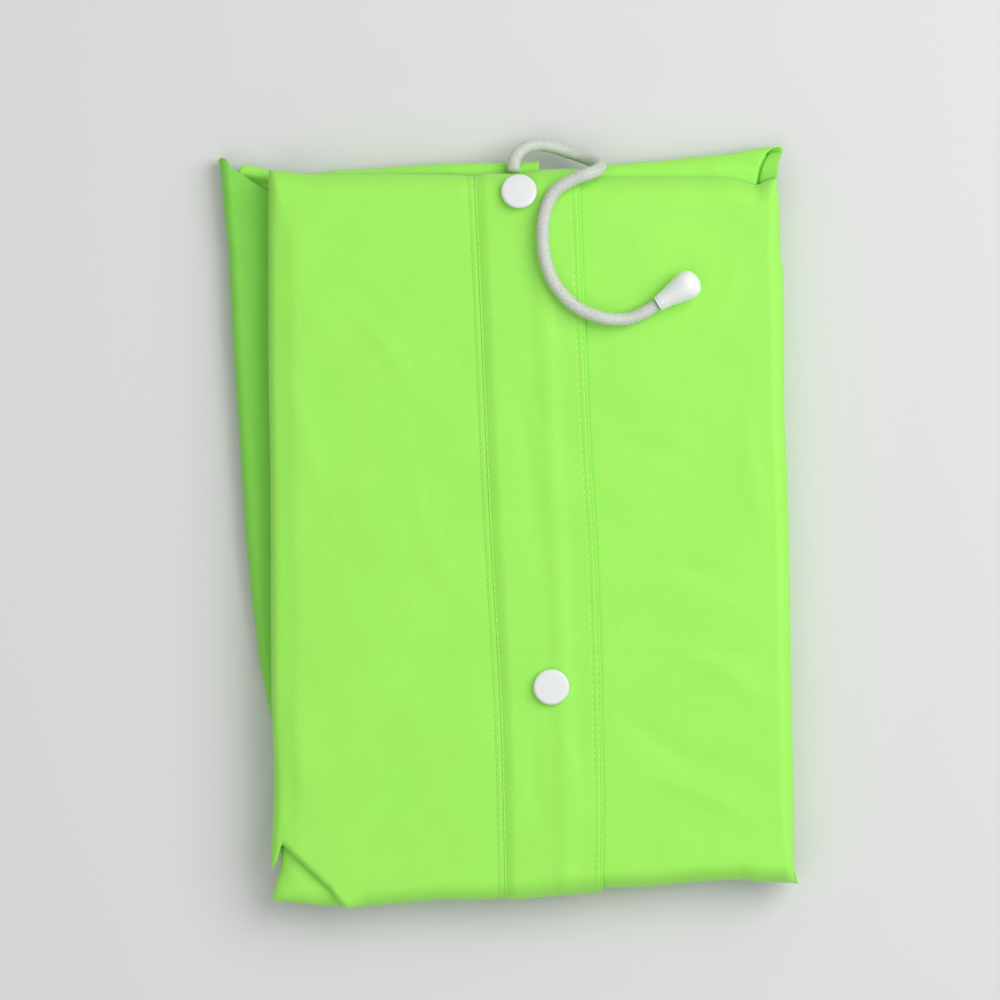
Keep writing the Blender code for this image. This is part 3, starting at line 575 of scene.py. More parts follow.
# %% [markdown]
# ## Making cloth from two faces
# A thin shell has an outer face, an inner face half a millimetre inside it, and a rim that closes
# them. Both come from the same function, so they nest. The map laid on it counts millimetres along
# the cloth, so the weave keeps its real size also where the cloth goes round a fold.

# %% Cloth shells


def outward(face):
    """The unit normal at every point of a grid of points."""
    normal = np.cross(np.gradient(face, axis=1), np.gradient(face, axis=0))
    return normal / np.maximum(np.linalg.norm(normal, axis=-1, keepdims=True), 1e-9)


def lengths(face, axis):
    steps = np.linalg.norm(np.diff(face, axis=axis), axis=-1)
    return np.insert(np.cumsum(steps, axis=axis), 0, 0.0, axis=axis)


def add_mesh(name, points, faces, finish, cloth_map=None):
    """A smooth mesh object from points in millimetres, with an optional map for each point."""
    mesh = bpy.data.meshes.new(name)
    mesh.from_pydata((np.asarray(points) * MM).tolist(), [], [list(f) for f in faces])
    if cloth_map is not None:
        layer = mesh.uv_layers.new(name="cloth")
        corners = np.empty(len(mesh.loops), np.int32)
        mesh.loops.foreach_get("vertex_index", corners)
        layer.data.foreach_set("uv", np.asarray(cloth_map)[corners].ravel().astype(np.float32))
    mesh.materials.append(finish)
    mesh.shade_smooth()
    mesh.validate()
    made = add_object(name, mesh)
    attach(made, "root")
    return made


def ring_faces(count, rings, tips=False):
    """Faces that join rings of points, closed by two points that follow the rings or by flat ends."""
    near = np.arange(count)
    after, last = np.roll(near, -1), (rings - 1) * count
    quads = np.stack([near, after, after + count, near + count], -1)
    joined = np.vstack([quads + k * count for k in range(rings - 1)]).tolist()
    if not tips:
        return [*joined, near[::-1].tolist(), (near + last).tolist()]
    tip = np.full(count, rings * count)
    first, final = np.stack([after, near, tip], -1), np.stack([near + last, after + last, tip + 1], -1)
    return [*joined, *first.tolist(), *final.tolist()]


def shell(name, outer, inner, finish):
    """A closed thin sheet between two grids of points, its faces turned outward."""
    if (outward(outer) * (outer - inner)).sum() < 0:
        outer, inner = outer[:, ::-1], inner[:, ::-1]
    rows, columns = outer.shape[:2]
    index = np.arange(rows * columns).reshape(rows, columns)
    quads = np.stack([index[:-1, :-1], index[:-1, 1:], index[1:, 1:], index[1:, :-1]], -1).reshape(-1, 4)
    rim = np.concatenate([index[0], index[1:, -1], index[-1, -2::-1], index[-2:0:-1, 0]])
    after = np.roll(rim, -1)
    far = index.size
    side = np.stack([after, rim, rim + far, after + far], -1)
    faces = np.vstack([quads, quads[:, ::-1] + far, side])
    cloth_map = np.stack([lengths(outer, 1), lengths(outer, 0)], -1).reshape(-1, 2)
    points = np.vstack([outer.reshape(-1, 3), inner.reshape(-1, 3)])
    return add_mesh(name, points, faces, finish, np.vstack([cloth_map, cloth_map]))


print("a closed tube of two rings of six points:", len(ring_faces(6, 2)), "faces")

# %% [markdown]
# ## Finishes
# The coat's cloth is a fine plain weave with a soft coating: bright, a little uneven, with a broad
# faint sheen. Four shader groups are shared by the finishes: the weave's relief, streaks of thicker
# threads, cloudy unevenness, and a colour that deepens where a mask says so. Each material places
# them with values of its own. The gaps between the weave's threads deepen the colour a little: that
# is painted shade.

# %% Shader groups


def new_group(name, takes, gives):
    """An empty shader group, its inputs as (name, kind, value) and its outputs as (name, kind)."""
    group = bpy.data.node_groups.new(name, "ShaderNodeTree")
    for label, kind, value in takes:
        socket = group.interface.new_socket(label, in_out="INPUT", socket_type="NodeSocket" + kind)
        if value is not None:
            socket.default_value = value
    for label, kind in gives:
        group.interface.new_socket(label, in_out="OUTPUT", socket_type="NodeSocket" + kind)
    return group, group.nodes.new("NodeGroupInput").outputs, group.nodes.new("NodeGroupOutput").inputs


def feed(tree, node, *values, **named):
    """Links or sets a node's inputs, which are given in their order or by name."""
    given = [*enumerate(values), *((label.replace("_", " "), value) for label, value in named.items())]
    for label, value in given:
        if isinstance(value, bpy.types.NodeSocket):
            tree.links.new(value, node.inputs[label])
        else:
            node.inputs[label].default_value = value
    return node


def new_node(tree, kind, *values, **named):
    return feed(tree, tree.nodes.new("ShaderNode" + kind), *values, **named)


def math_node(group, operation, *values):
    node = new_node(group, "Math", *values)
    node.operation = operation
    return node.outputs[0]


def plain_weave_group():
    """Threads over and under each other: their height, and a mask of the gaps between them."""
    takes = (("Coordinates", "Vector", None), ("Threads a mm", "Float", 2.0))
    group, enter, leave = new_group("plain weave", takes, (("Height", "Float"), ("Gaps", "Float")))
    split = new_node(group, "SeparateXYZ", enter["Coordinates"])
    turns = math_node(group, "MULTIPLY", enter["Threads a mm"], pi)
    across, along = (
        math_node(group, "SINE", math_node(group, "MULTIPLY", way, turns)) for way in split.outputs[:2])
    checks = math_node(group, "MULTIPLY", across, along)
    group.links.new(math_node(group, "MULTIPLY_ADD", checks, 0.5, 0.5), leave["Height"])
    crossing = math_node(group, "ABSOLUTE", checks)
    group.links.new(math_node(group, "SUBTRACT", 1.0, crossing), leave["Gaps"])
    return group


def slubs_group():
    """Threads that run thick and thin: a mask of fine streaks along each of the cloth's two ways."""
    takes = (("Coordinates", "Vector", None), ("Long mm", "Float", 14.0), ("Fine mm", "Float", 0.7))
    group, enter, leave = new_group("slubs", takes, (("Mask", "Float"),))
    streaks = []
    for ways in (("Long mm", "Fine mm", "Fine mm"), ("Fine mm", "Long mm", "Fine mm")):
        shares = [math_node(group, "DIVIDE", 1.0, enter[label]) for label in ways]
        scale = new_node(group, "CombineXYZ", *shares)
        drawn = new_node(group, "VectorMath", enter["Coordinates"], scale.outputs[0])
        drawn.operation = "MULTIPLY"
        noise = new_node(group, "TexNoise", Vector=drawn.outputs[0], Scale=1.0, Detail=2.0)
        streaks.append(noise.outputs[0])
    both = math_node(group, "MULTIPLY", math_node(group, "ADD", *streaks), 0.5)
    group.links.new(both, leave["Mask"])
    return group


def clouds_group():
    """Soft unevenness in patches of a given width, as a mask around one half."""
    takes = (("Coordinates", "Vector", None), ("Patch mm", "Float", 30.0))
    group, enter, leave = new_group("clouds", takes, (("Mask", "Float"),))
    scale = math_node(group, "DIVIDE", 1.0, enter["Patch mm"])
    noise = new_node(
        group, "TexNoise", Vector=enter["Coordinates"], Scale=scale, Detail=3.0, Roughness=0.55)
    group.links.new(noise.outputs[0], leave["Mask"])
    return group


def deepened_group():
    """A colour that turns towards a deeper one where a mask is high."""
    takes = (
        ("Colour", "Color", (1, 1, 1, 1)), ("Deep colour", "Color", (0, 0, 0, 1)), ("Mask", "Float", 0.0),
        ("Amount", "Float", 0.5),
    )
    group, enter, leave = new_group("deepened colour", takes, (("Colour", "Color"),))
    share = math_node(group, "MULTIPLY", enter["Mask"], enter["Amount"])
    blend = group.nodes.new("ShaderNodeMix")
    blend.data_type = "RGBA"
    for place, socket in ((0, share), (6, enter["Colour"]), (7, enter["Deep colour"])):
        group.links.new(socket, blend.inputs[place])
    group.links.new(blend.outputs[2], leave["Colour"])
    return group


WEAVE, SLUBS, CLOUDS, DEEPENED = plain_weave_group(), slubs_group(), clouds_group(), deepened_group()
print("groups:", [group.name for group in (WEAVE, SLUBS, CLOUDS, DEEPENED)])

# %% Materials
LIME, LIME_DEEP = (0.375, 0.90, 0.115, 1), (0.21, 0.67, 0.055, 1)
# The folded stack's colour is the lime made darker: painted shade on its hidden sides.
SHADE, SHADE_DEEP = (0.34, 0.86, 0.10, 1), (0.18, 0.62, 0.05, 1)
# The sleeve's colour is the lime made darker: painted shade where the strip lies low beside the left front.
SLEEVE_PAINTED_SHADE, SLEEVE_PAINTED_SHADE_DEEP = (0.265, 0.75, 0.088, 1), (0.145, 0.54, 0.042, 1)
# The layer in the roll is the lime made darker: painted shade inside the hood's roll.
ROLL_PAINTED_SHADE, ROLL_PAINTED_SHADE_DEEP = (0.30, 0.79, 0.08, 1), (0.16, 0.56, 0.04, 1)
THREAD, THREAD_DEEP = (0.35, 0.88, 0.108, 1), (0.22, 0.69, 0.06, 1)
# The cord's white and grey carry a green tint: painted reflection of the lime cloth; the grey flecks are
# the braid's own.
CORD_WHITE_PAINTED_REFLECTION, CORD_GREY_PAINTED_REFLECTION = (0.64, 0.68, 0.60, 1), (0.41, 0.46, 0.39, 1)
SNAP, SNAP_DEEP = (0.79, 0.81, 0.80, 1), (0.66, 0.70, 0.69, 1)
# The cord end's plastic is made lighter than the snaps': painted light that offsets the shading on its
# curved sides.
MILKY_PAINTED_LIGHT, MILKY_PAINTED_LIGHT_DEEP = (0.88, 0.90, 0.88, 1), (0.74, 0.78, 0.76, 1)
CLOUD_PATCH, FLECK_PATCH, BRAID_PATCH, HAZE_PATCH, MARK_PATCH = 38.0, 2.6, 0.5, 6.0, 0.8  # mm
CLOUDED, STREAKED, GAP_PAINTED_SHADE, HAZED = 0.28, 0.20, 0.06, 0.35  # how far each mask deepens a colour
MASK_LOW, MASK_HIGH = 0.3, 0.7  # a noise mask keeps mostly between these
THREADS, SEWING_THREADS = 1.6, 4.0  # threads a millimetre in the cloth, fibres in the thread
WEAVE_RELIEF, BRAID_RELIEF, MOULD_RELIEF = 0.05, (0.5, 0.08), (0.12, 0.04)  # depths, or (strength, depth)
DULLER = (0.52, 0.68)  # roughness of the cloths that lie in shade


def new_finish(name):
    made = bpy.data.materials.new(name)
    made.use_nodes = True
    return made, made.node_tree, made.node_tree.nodes["Principled BSDF"]


def place_group(tree, group, **named):
    """A shared group placed in a material, with values and links of its own; gives its first output."""
    node = tree.nodes.new("ShaderNodeGroup")
    node.node_tree = group
    return feed(tree, node, **named).outputs[0]


def millimetres(tree, mapped):
    """Coordinates in millimetres: along the cloth where it has a map, otherwise in space."""
    if mapped:
        source = tree.nodes.new("ShaderNodeUVMap")
        source.uv_map = "cloth"
        return source.outputs[0]
    source = tree.nodes.new("ShaderNodeTexCoord")
    scale = tree.nodes.new("ShaderNodeVectorMath")
    scale.operation = "SCALE"
    return feed(tree, scale, source.outputs["Object"], Scale=1 / MM).outputs[0]


def varied(tree, mask, low, high):
    """A value that follows a mask between two limits."""
    limits = {"From Min": MASK_LOW, "From Max": MASK_HIGH, "To Min": low, "To Max": high}
    return new_node(tree, "MapRange", Value=mask, **limits).outputs[0]


def relief_of(tree, height, strength, deep):
    """A fine relief in the shading alone, deep in millimetres."""
    return new_node(tree, "Bump", Strength=strength, Distance=deep * MM, Height=height).outputs[0]


def cloth_finish(name, colour, deep, threads, relief, mapped=True, rough=(0.44, 0.60)):
    made, tree, shader = new_finish(name)
    where = millimetres(tree, mapped)
    height = place_group(tree, WEAVE, Coordinates=where, Threads_a_mm=threads)
    streaks = varied(tree, place_group(tree, SLUBS, Coordinates=where), 0.0, 1.0)
    patches, flecks = (
        place_group(tree, CLOUDS, Coordinates=where, Patch_mm=wide) for wide in (CLOUD_PATCH, FLECK_PATCH))
    # The weave's gaps deepen the colour: painted shade between the threads.
    masks = ((patches, CLOUDED), (streaks, STREAKED), (height.node.outputs["Gaps"], GAP_PAINTED_SHADE))
    for mask, amount in masks:
        colour = place_group(tree, DEEPENED, Colour=colour, Deep_colour=deep, Mask=mask, Amount=amount)
    feed(
        tree, shader, Base_Color=colour, Roughness=varied(tree, flecks, *rough),
        Normal=relief_of(tree, height, relief, WEAVE_RELIEF), Sheen_Weight=0.18, Sheen_Roughness=0.45,
        Specular_IOR_Level=0.35)
    return made


def cord_finish():
    """A white braid with fine silvery threads in it, which glint here and there."""
    # Its colours hold a green tint: painted reflection of the lime cloth round it.
    made, tree, shader = new_finish("braided cord")
    fine = place_group(tree, CLOUDS, Coordinates=millimetres(tree, False), Patch_mm=BRAID_PATCH)
    mask = varied(tree, fine, -0.35, 1.0)
    flecked = place_group(tree, DEEPENED, Colour=CORD_WHITE_PAINTED_REFLECTION, Deep_colour=CORD_GREY_PAINTED_REFLECTION, Mask=mask, Amount=1.0)
    feed(
        tree, shader, Base_Color=flecked, Roughness=varied(tree, fine, 0.75, 0.30),
        Normal=relief_of(tree, fine, *BRAID_RELIEF), Sheen_Weight=0.25)
    return made


def moulded_finish(name, colour, deep, rough, see_in):
    """Milky moulded plastic, a little cloudy, with fine handling marks."""
    made, tree, shader = new_finish(name)
    where = millimetres(tree, False)
    haze, marks = (
        place_group(tree, CLOUDS, Coordinates=where, Patch_mm=wide) for wide in (HAZE_PATCH, MARK_PATCH))
    milky = place_group(tree, DEEPENED, Colour=colour, Deep_colour=deep, Mask=haze, Amount=HAZED)
    feed(
        tree, shader, Base_Color=milky, Roughness=varied(tree, marks, rough - 0.07, rough + 0.09),
        Normal=relief_of(tree, marks, *MOULD_RELIEF), Subsurface_Weight=see_in,
        Subsurface_Radius=(0.8 * MM, 0.9 * MM, 1.0 * MM))
    return made


LIME_CLOTH = cloth_finish("lime cloth", LIME, LIME_DEEP, THREADS, 0.42)
SLEEVE_PAINTED_SHADE_CLOTH = cloth_finish("lime cloth of the sleeve, painted shade", SLEEVE_PAINTED_SHADE, SLEEVE_PAINTED_SHADE_DEEP, THREADS, 0.65, rough=DULLER)
ROLL_PAINTED_SHADE_CLOTH = cloth_finish("lime cloth in the roll, painted shade", ROLL_PAINTED_SHADE, ROLL_PAINTED_SHADE_DEEP, THREADS, 0.65, rough=DULLER)
STITCH_THREAD = cloth_finish("lime thread", THREAD, THREAD_DEEP, SEWING_THREADS, 0.5, mapped=False)
BRAID = cord_finish()
STUD_PLASTIC = moulded_finish("white snap", SNAP, SNAP_DEEP, 0.34, 0.15)
END_PLASTIC_PAINTED_LIGHT = moulded_finish("milky cord end, painted light", MILKY_PAINTED_LIGHT, MILKY_PAINTED_LIGHT_DEEP, 0.38, 0.3)
print("materials:", len(bpy.data.materials))

# %% [markdown]
# ## The two fronts
# Each front is one cut of coated cloth that folds down round its side of the packet and tucks under.
# A grid of points does this well: its columns lie closer where the stitching pulls the cloth, and its
# rows closer where the ends round over. The flap is sewn to the left front, so a narrow band stands up
# there beside a stitched groove.

# %% Left and right front
BAND_WIDE, BAND_HIGH = 2.4, 0.30  # the doubled cloth beside the flap's seam
BAND_RISES, BAND_FALLS = (-BAND_WIDE - 0.9, -BAND_WIDE + 0.4), (1.0, 3.0)  # places from the seam
GROOVE_HALF, GROOVE_DEEP = 0.5, 0.18
SIDE_RIDGE = (2.0, 1.5, 0.32)  # beside its side fold: how far in, half width and height
SIDE_TROUGH = (7.0, 3.4, -0.5)
SIDE_STARTS, SIDE_STOPS = (-150.0, -110.0), (120.0, 148.0)  # levels where both come and go
SIDE_ROWS = ((0.0, 16), (END_SHARE, 200), (1 - END_SHARE, 18))
LEFT_COLUMNS = ((0.0, 30), (ROUND_SHARE, 60), (0.84, 24), (0.90, 8))
RIGHT_COLUMNS = ((0.0, 30), (ROUND_SHARE, 84))


def stations(*runs):
    """Shares from 0 to 1 in runs of even steps, each given as (where it starts, its steps)."""
    ends = [start for start, _ in runs[1:]] + [1.0]
    parts = [np.linspace(start, end, steps, endpoint=False) for (start, steps), end in zip(runs, ends)]
    return np.concatenate([*parts, [1.0]])


def laid(build, columns, rows, relief=None):
    """A cloth's two faces, laid by build(c, s, deep), with the same relief stood out on both."""
    c, s = np.meshgrid(stations(*columns), stations(*rows))
    outer, inner = build(c, s, 0.0), build(c, s, CLOTH_THICK)
    if relief is not None:
        way = outward(outer)
        way = way * np.sign((way * (outer - inner)).sum())
        move = way * relief(outer[..., 0], outer[..., 1])[..., None]
        outer, inner = outer + move, inner + move
    return outer, inner


def groove(at, place):
    return -GROOVE_DEEP * hump(at - place, GROOVE_HALF)


def left_relief(x, y):
    from_seam = x - edge(FLAP_SEAM, y)
    band = BAND_HIGH * ramp(*BAND_RISES, from_seam) * (1 - ramp(*BAND_FALLS, from_seam))
    from_fold = x - edge(LEFT_FOLD, y)
    beside = sum(high * hump(from_fold - place, half) for place, half, high in (SIDE_RIDGE, SIDE_TROUGH))
    beside = beside * ramp(*SIDE_STARTS, y) * (1 - ramp(*SIDE_STOPS, y))
    return rumple(x, y) + band + groove(from_seam, -BAND_WIDE) + beside


left_outer, left_inner = laid(partial(front_point, -1), LEFT_COLUMNS, SIDE_ROWS, left_relief)
right_outer, right_inner = laid(partial(front_point, 1), RIGHT_COLUMNS, SIDE_ROWS, rumple)
left_front = shell("left_front", left_outer, left_inner, LIME_CLOTH)
right_front = shell("right_front", right_outer, right_inner, LIME_CLOTH)
print("fronts:", [len(piece.data.polygons) for piece in (left_front, right_front)], "faces")

# %% [markdown]
# ## The storm flap
# A band of cloth over the front opening keeps rain out. It is sewn along its left edge, so it lies
# right down on the front there. Its right edge is free: the cloth turns round in a tight fold and comes
# back under, which makes the edge fuller than a raw one.

# %% Storm flap
FLAP_TURN, FLAP_BACK = 0.55, 8.0  # radius of the fold at the free edge, and the cloth turned under
FLAP_ACROSS, FLAP_ROUND = 0.78, 0.86  # shares of c where the top ends and where the fold ends
SEW_DOWN, SEW_HIGH = 0.12, 0.62  # over this share of its width the flap comes down to this height
SEAM_ROW, EDGE_ROWS = 0.75, (3.3, 0.95)  # stitched rows, from the seam and from the free edge


def flap_cloth(c, s, deep=0.0):
    """The flap's outer face: over the top, round the free edge, and back under it."""
    level = packet_row(s, 0.0)[0]
    seam, free = edge(FLAP_SEAM, level), edge(FLAP_FREE, level)
    across = held(c / FLAP_ACROSS)
    turn = pi * held((c - FLAP_ACROSS) / (FLAP_ROUND - FLAP_ACROSS))
    back = FLAP_BACK * held((c - FLAP_ROUND) / (1 - FLAP_ROUND))
    small = FLAP_TURN - deep
    x = mix(seam, free - FLAP_TURN, across) + small * np.sin(turn) - back
    sewn = (1 - ramp(0.0, SEW_DOWN, across)) * (flap_out(0.0) - SEW_HIGH)
    out = flap_out(across) - sewn - FLAP_TURN + small * np.cos(turn)
    y = packet_row(s, x)[0]
    rows = groove(x - seam, SEAM_ROW) + sum(groove(free - x, row) for row in EDGE_ROWS)
    return over_front(x, s, out + rumple(x, y) + np.where(c < FLAP_ACROSS, rows, 0.0))


FLAP_COLUMNS = ((0.0, 10), (0.04, 34), (0.68, 20), (FLAP_ACROSS, 8), (FLAP_ROUND, 6))
flap_outer, flap_inner = laid(flap_cloth, FLAP_COLUMNS, SIDE_ROWS)
flap = shell("storm_flap_cloth", flap_outer, flap_inner, LIME_CLOTH)
print("flap:", len(flap.data.polygons), "faces")

# %% [markdown]
# ## Sleeve, hood and corners
# These are narrower cuts of the same cloth, which sit behind and between the fronts. They carry a few
# wrinkles of their own, which run slantwise from the folds that pull them.

# %% Smaller cloths
SIDE_SWELL = 0.6  # the swells are this much smaller here
SIDE_CREASES = [Crease(*row) for row in (
    (-121, 118, -103, 96, 2, 3.2, -0.42), (-119, 84, -104, 104, -2, 3.0, 0.34),
    (-116, 52, -102, 30, 2, 3.4, -0.36), (-113, 8, -101, -18, 1, 3.4, 0.30),
    (-109, -36, -99, -58, 1, 2.8, -0.28), (-122, 146, -106, 134, -1, 2.6, 0.30),
    (-60, 152, -48, 146, 1, 2.6, -0.30), (-30, 154, -20, 146, 1, 2.8, 0.26),
    (48, 154, 60, 146, -1, 2.8, -0.32), (70, 157, 92, 146, 2, 3.2, 0.34),
    (86, 160, 104, 150, 2, 2.8, -0.30), (-97, -140, -84, -156, 2, 2.6, 0.26),
)]


def side_relief(x, y):
    small = sum(crease_height(crease, x, y) for crease in SIDE_CREASES)
    swells = sum(tall * ripple(x, y, turn, SIDE_SWELL * long) for long, turn, tall in SWELLS[1:])
    return small + SIDE_SWELL * swells


CREVICE = (0.5, 0.7, 1.1)  # how far from the roll's end, half width and depth
ROLL_END_POINTS = 80


def inner_relief(x, y):
    """The layer in the roll dips where the roll's end lies along it."""
    off, half, deep = CREVICE
    end = hood_roll_point(1.0, np.linspace(0.0, 1.0, ROLL_END_POINTS))
    rising = end[: end[:, 1].argmax() + 1]
    line = np.interp(y, rising[:, 1], rising[:, 0]) + off
    return side_relief(x, y) - deep * hump(x - line, half)


Small = namedtuple("Small", "name node build columns rows finish relief", defaults=[side_relief])
# The sleeve and the layer in the roll take darker copies of the same cloth: painted shade.
SMALL_CLOTHS = (
    Small("sleeve_cloth", "sleeve_strip", sleeve_point, 60, 190, SLEEVE_PAINTED_SHADE_CLOTH),
    Small("sleeve_ear_cloth", "sleeve_ear", ear_point, 30, 30, LIME_CLOTH),
    Small("hood_back_cloth", "hood_back", hood_back_point, 90, 40, LIME_CLOTH),
    Small("hood_roll_cloth", "hood_roll", hood_roll_point, 80, 64, LIME_CLOTH),
    Small("hood_inner_cloth", "hood_inner", hood_inner_point, 110, 60, ROLL_PAINTED_SHADE_CLOTH, inner_relief),
    Small("turned_corner_cloth", "hem_corner", corner_point, 60, 60, LIME_CLOTH),
    Small("hem_ear_cloth", "hem_ear", hem_ear_point, 12, 14, LIME_CLOTH),
)


def small_cloth(piece):
    faces = laid(piece.build, ((0.0, piece.columns),), ((0.0, piece.rows),), piece.relief)
    return shell(piece.name, *faces, piece.finish)


small_cloths = {piece.node: small_cloth(piece) for piece in SMALL_CLOTHS}
print("smaller cloths:", sum(len(made.data.polygons) for made in small_cloths.values()), "faces")

# %% [markdown]
# ## The hidden layers
# Under the fronts the rest of the coat lies folded many times. Only its edges can be seen, from the
# side, and its underside. One closed form does this: outlines stacked up, with one or two folded edges
# to each layer, pushed in unevenly as folded cloth never lines up. It rests on the rim of its underside.
# Shallow troughs rise into that, and one fold lies over the other there, so a low step runs down it.

# %% Folded stack
# From the ground up: heights, the left fold that the layer follows, and how far in its edges lie
Layer = namedtuple("Layer", "low high left_from left right head hem")
LAYERS = (
    Layer(0.0, 3.2, SLEEVE_FOLD, 9.5, 2.6, 1.2, 2.0), Layer(3.2, 6.2, SLEEVE_FOLD, 4.4, 0.9, 4.6, 1.0),
    Layer(6.2, 9.2, SLEEVE_FOLD, 4.6, 4.5, 4.6, 2.4), Layer(9.2, 11.5, LEFT_FOLD, 10.0, 8.2, 4.6, 1.2),
    Layer(11.5, 13.8, LEFT_FOLD, 13.0, 3.4, 4.6, 2.2), Layer(13.8, 16.4, LEFT_FOLD, 8.0, 2.6, 4.6, 4.6),
    Layer(16.4, 18.6, LEFT_FOLD, 7.0, 4.0, 6.0, 6.5), Layer(18.6, 19.7, LEFT_FOLD, 13.0, 8.0, 10.0, 12.0),
)
LAYER_SQUARE = 14
STACK_HEM = (
    (-100.0, -155.5), (-75.0, -157.8), (-64.0, -158.0), (-27.0, -156.0), (13.5, -153.4),
    (59.0, -150.8), (99.0, -147.8), (120.0, -149.0),
)
EAR_CUT = ((-115.0, 127.0), (-97.0, 138.0), (-88.0, 149.0))
STACK_HALF = (112.0, 148.0)
STACK_POINTS = 560
STACK_TURN = np.linspace(0, 2 * pi, STACK_POINTS, endpoint=False)
LEAF_TALL = 1.5
LEAF_RINGS = ((0.02, 1.0), (0.10, 0.45), (0.28, 0.08), (0.5, 0.0), (0.72, 0.08), (0.90, 0.45), (0.98, 1.0))
LEAF_DEEP, LEAF_UNEVEN = 0.75, 1.9
UNDER_RINGS, UNDER_CROWD, UNDER_CALM = 60, 0.8, 8
UNDER_TROUGHS = [Crease(*row) for row in (
    (-92, -110, -22, -64, 9, 4.2, 0.85), (4, -126, 30, -58, -7, 4.6, 0.75),
    (-84, 24, -6, 66, 8, 4.4, 0.80), (52, 14, 104, 50, -6, 4.2, 0.70), (-66, 124, 14, 98, 6, 4.4, 0.80),
    (54, 130, 98, 84, -6, 4.0, 0.70), (60, -96, 102, -60, 5, 4.0, 0.65),
    (-30, -20, 24, 8, -5, 4.6, 0.70),
)]
# The left fold lies over the right one underneath: its edge as (y, x), and the step that it makes
UNDER_EDGE = ((-160.0, 33.0), (-80.0, 37.5), (0.0, 39.0), (90.0, 43.0), (160.0, 41.0))
UNDER_STEP, UNDER_SOFT = 0.8, 1.7


def uneven(turn, seed):
    """How far in an edge wanders, from 0 to 1, on its way round."""
    waves = sum(np.sin(k * turn + seed * (k + 1.7)) / k**0.6 for k in (2, 3, 5, 9, 14, 23))
    return 0.5 + 0.5 * np.tanh(0.8 * waves)


def stack_ring(layer, inset):
    """One outline of the hidden layers, as (x, y) round the packet."""
    a, b = np.cos(STACK_TURN), np.sin(STACK_TURN)
    square = np.maximum(abs(a), abs(b))
    a, b = a / square, b / square
    soft = (abs(a) ** LAYER_SQUARE + abs(b) ** LAYER_SQUARE) ** (-1 / LAYER_SQUARE)
    a, b = a * soft, b * soft
    x_level, y_level = a * STACK_HALF[0], b * STACK_HALF[1]
    left = edge(layer.left_from, y_level) + layer.left + inset
    right = edge(RIGHT_FOLD, y_level) - layer.right - inset
    head = edge(HEAD_FOLD, x_level) - layer.head - inset
    if layer.left_from is SLEEVE_FOLD:
        head = np.minimum(head, corner_edge(EAR_CUT, x_level))
    hem = edge(STACK_HEM, x_level) + layer.hem + inset
    return mix(left, right, (a + 1) / 2), mix(hem, head, (b + 1) / 2)


def stack_rings():
    """The stack's side from the ground up: each layer is a few leaves, and each leaf a few rings."""
    rings = []
    for number, layer in enumerate(LAYERS):
        leaves = max(1, round((layer.high - layer.low) / LEAF_TALL))
        tall = (layer.high - layer.low) / leaves
        for leaf in range(leaves):
            wander = LEAF_UNEVEN * uneven(STACK_TURN, 3.1 * number + 1.3 * leaf) * (leaf + number > 0)
            for share, deep in LEAF_RINGS:
                x, y = stack_ring(layer, LEAF_DEEP * deep + wander)
                rings.append(point(x, y, layer.low + tall * (leaf + share)))
    return rings


def under_height(x, y):
    """How far the underside stands off the ground: one fold over the other, and shallow troughs."""
    beside = x - edge(UNDER_EDGE, y)
    step = UNDER_STEP * ramp(-UNDER_SOFT, UNDER_SOFT, beside)
    return step + sum(crease_height(trough, x, y) for trough in UNDER_TROUGHS)


def folded_stack():
    rings = stack_rings()
    rings[0][:, 2] = 0.0
    middle = rings[0].mean(axis=0)
    bottom = []
    for step in range(1, UNDER_RINGS):
        ring = mix(middle, rings[0], (step / UNDER_RINGS) ** UNDER_CROWD)
        calm = 1 - (step / UNDER_RINGS) ** UNDER_CALM
        ring[:, 2] = calm * under_height(ring[:, 0], ring[:, 1])
        bottom.append(ring)
    loops = bottom + rings
    points = np.vstack([*loops, middle[None], rings[-1].mean(axis=0)[None]])
    return add_mesh("folded_cloth", points, ring_faces(STACK_POINTS, len(loops), tips=True), STACK_CLOTH)


STACK_CLOTH = cloth_finish(
    "lime cloth folded, painted shade", SHADE, SHADE_DEEP, THREADS, 0.6, mapped=False, rough=(0.5, 0.66))
stack = folded_stack()
print("stack:", len(stack.data.polygons), "faces")

# %% [markdown]
# ## Stitches
# Two rows hold the flap's seam and two run along its free edge. Each stitch is a short round of thread
# whose ends dip into the cloth. At this distance they read as fine dotted lines, a little darker than
# the cloth.

# %% Stitched rows
THREAD_HALF = 0.15
STITCH_LONG, STITCH_STEP = 2.1, 3.0
STITCH_RISE, STITCH_SINK = 0.11, 0.22
STITCH_STRAYS, STITCH_LONGER = 0.15, 0.1
STITCH_PROFILE = ((0.0, 0.15), (0.12, 0.8), (0.35, 1.0), (0.65, 1.0), (0.88, 0.8), (1.0, 0.15))
AROUND_STITCH = 6
ON_TOP, NEAR_SEAM = slice(0, 65), slice(60, None)  # the flap's and left front's columns to look in
chance = np.random.default_rng(7)


def one_stitch(a, b):
    """Rings of points round a thread that dips into the cloth at both its ends."""
    way = (b - a) / np.linalg.norm(b - a)
    aside = np.cross(way, (0.0, 0.0, 1.0))
    aside = aside / np.linalg.norm(aside)
    up = np.cross(aside, way)
    turn = -np.arange(AROUND_STITCH)[:, None] * 2 * pi / AROUND_STITCH
    rings = []
    for share, wide in STITCH_PROFILE:
        rise = mix(-STITCH_SINK, STITCH_RISE, sin(pi * share) ** 0.6)
        ring = up * np.sin(turn) + aside * np.cos(turn)
        rings.append(mix(a, b, share) + up * rise + THREAD_HALF * wide * ring)
    return np.vstack(rings)


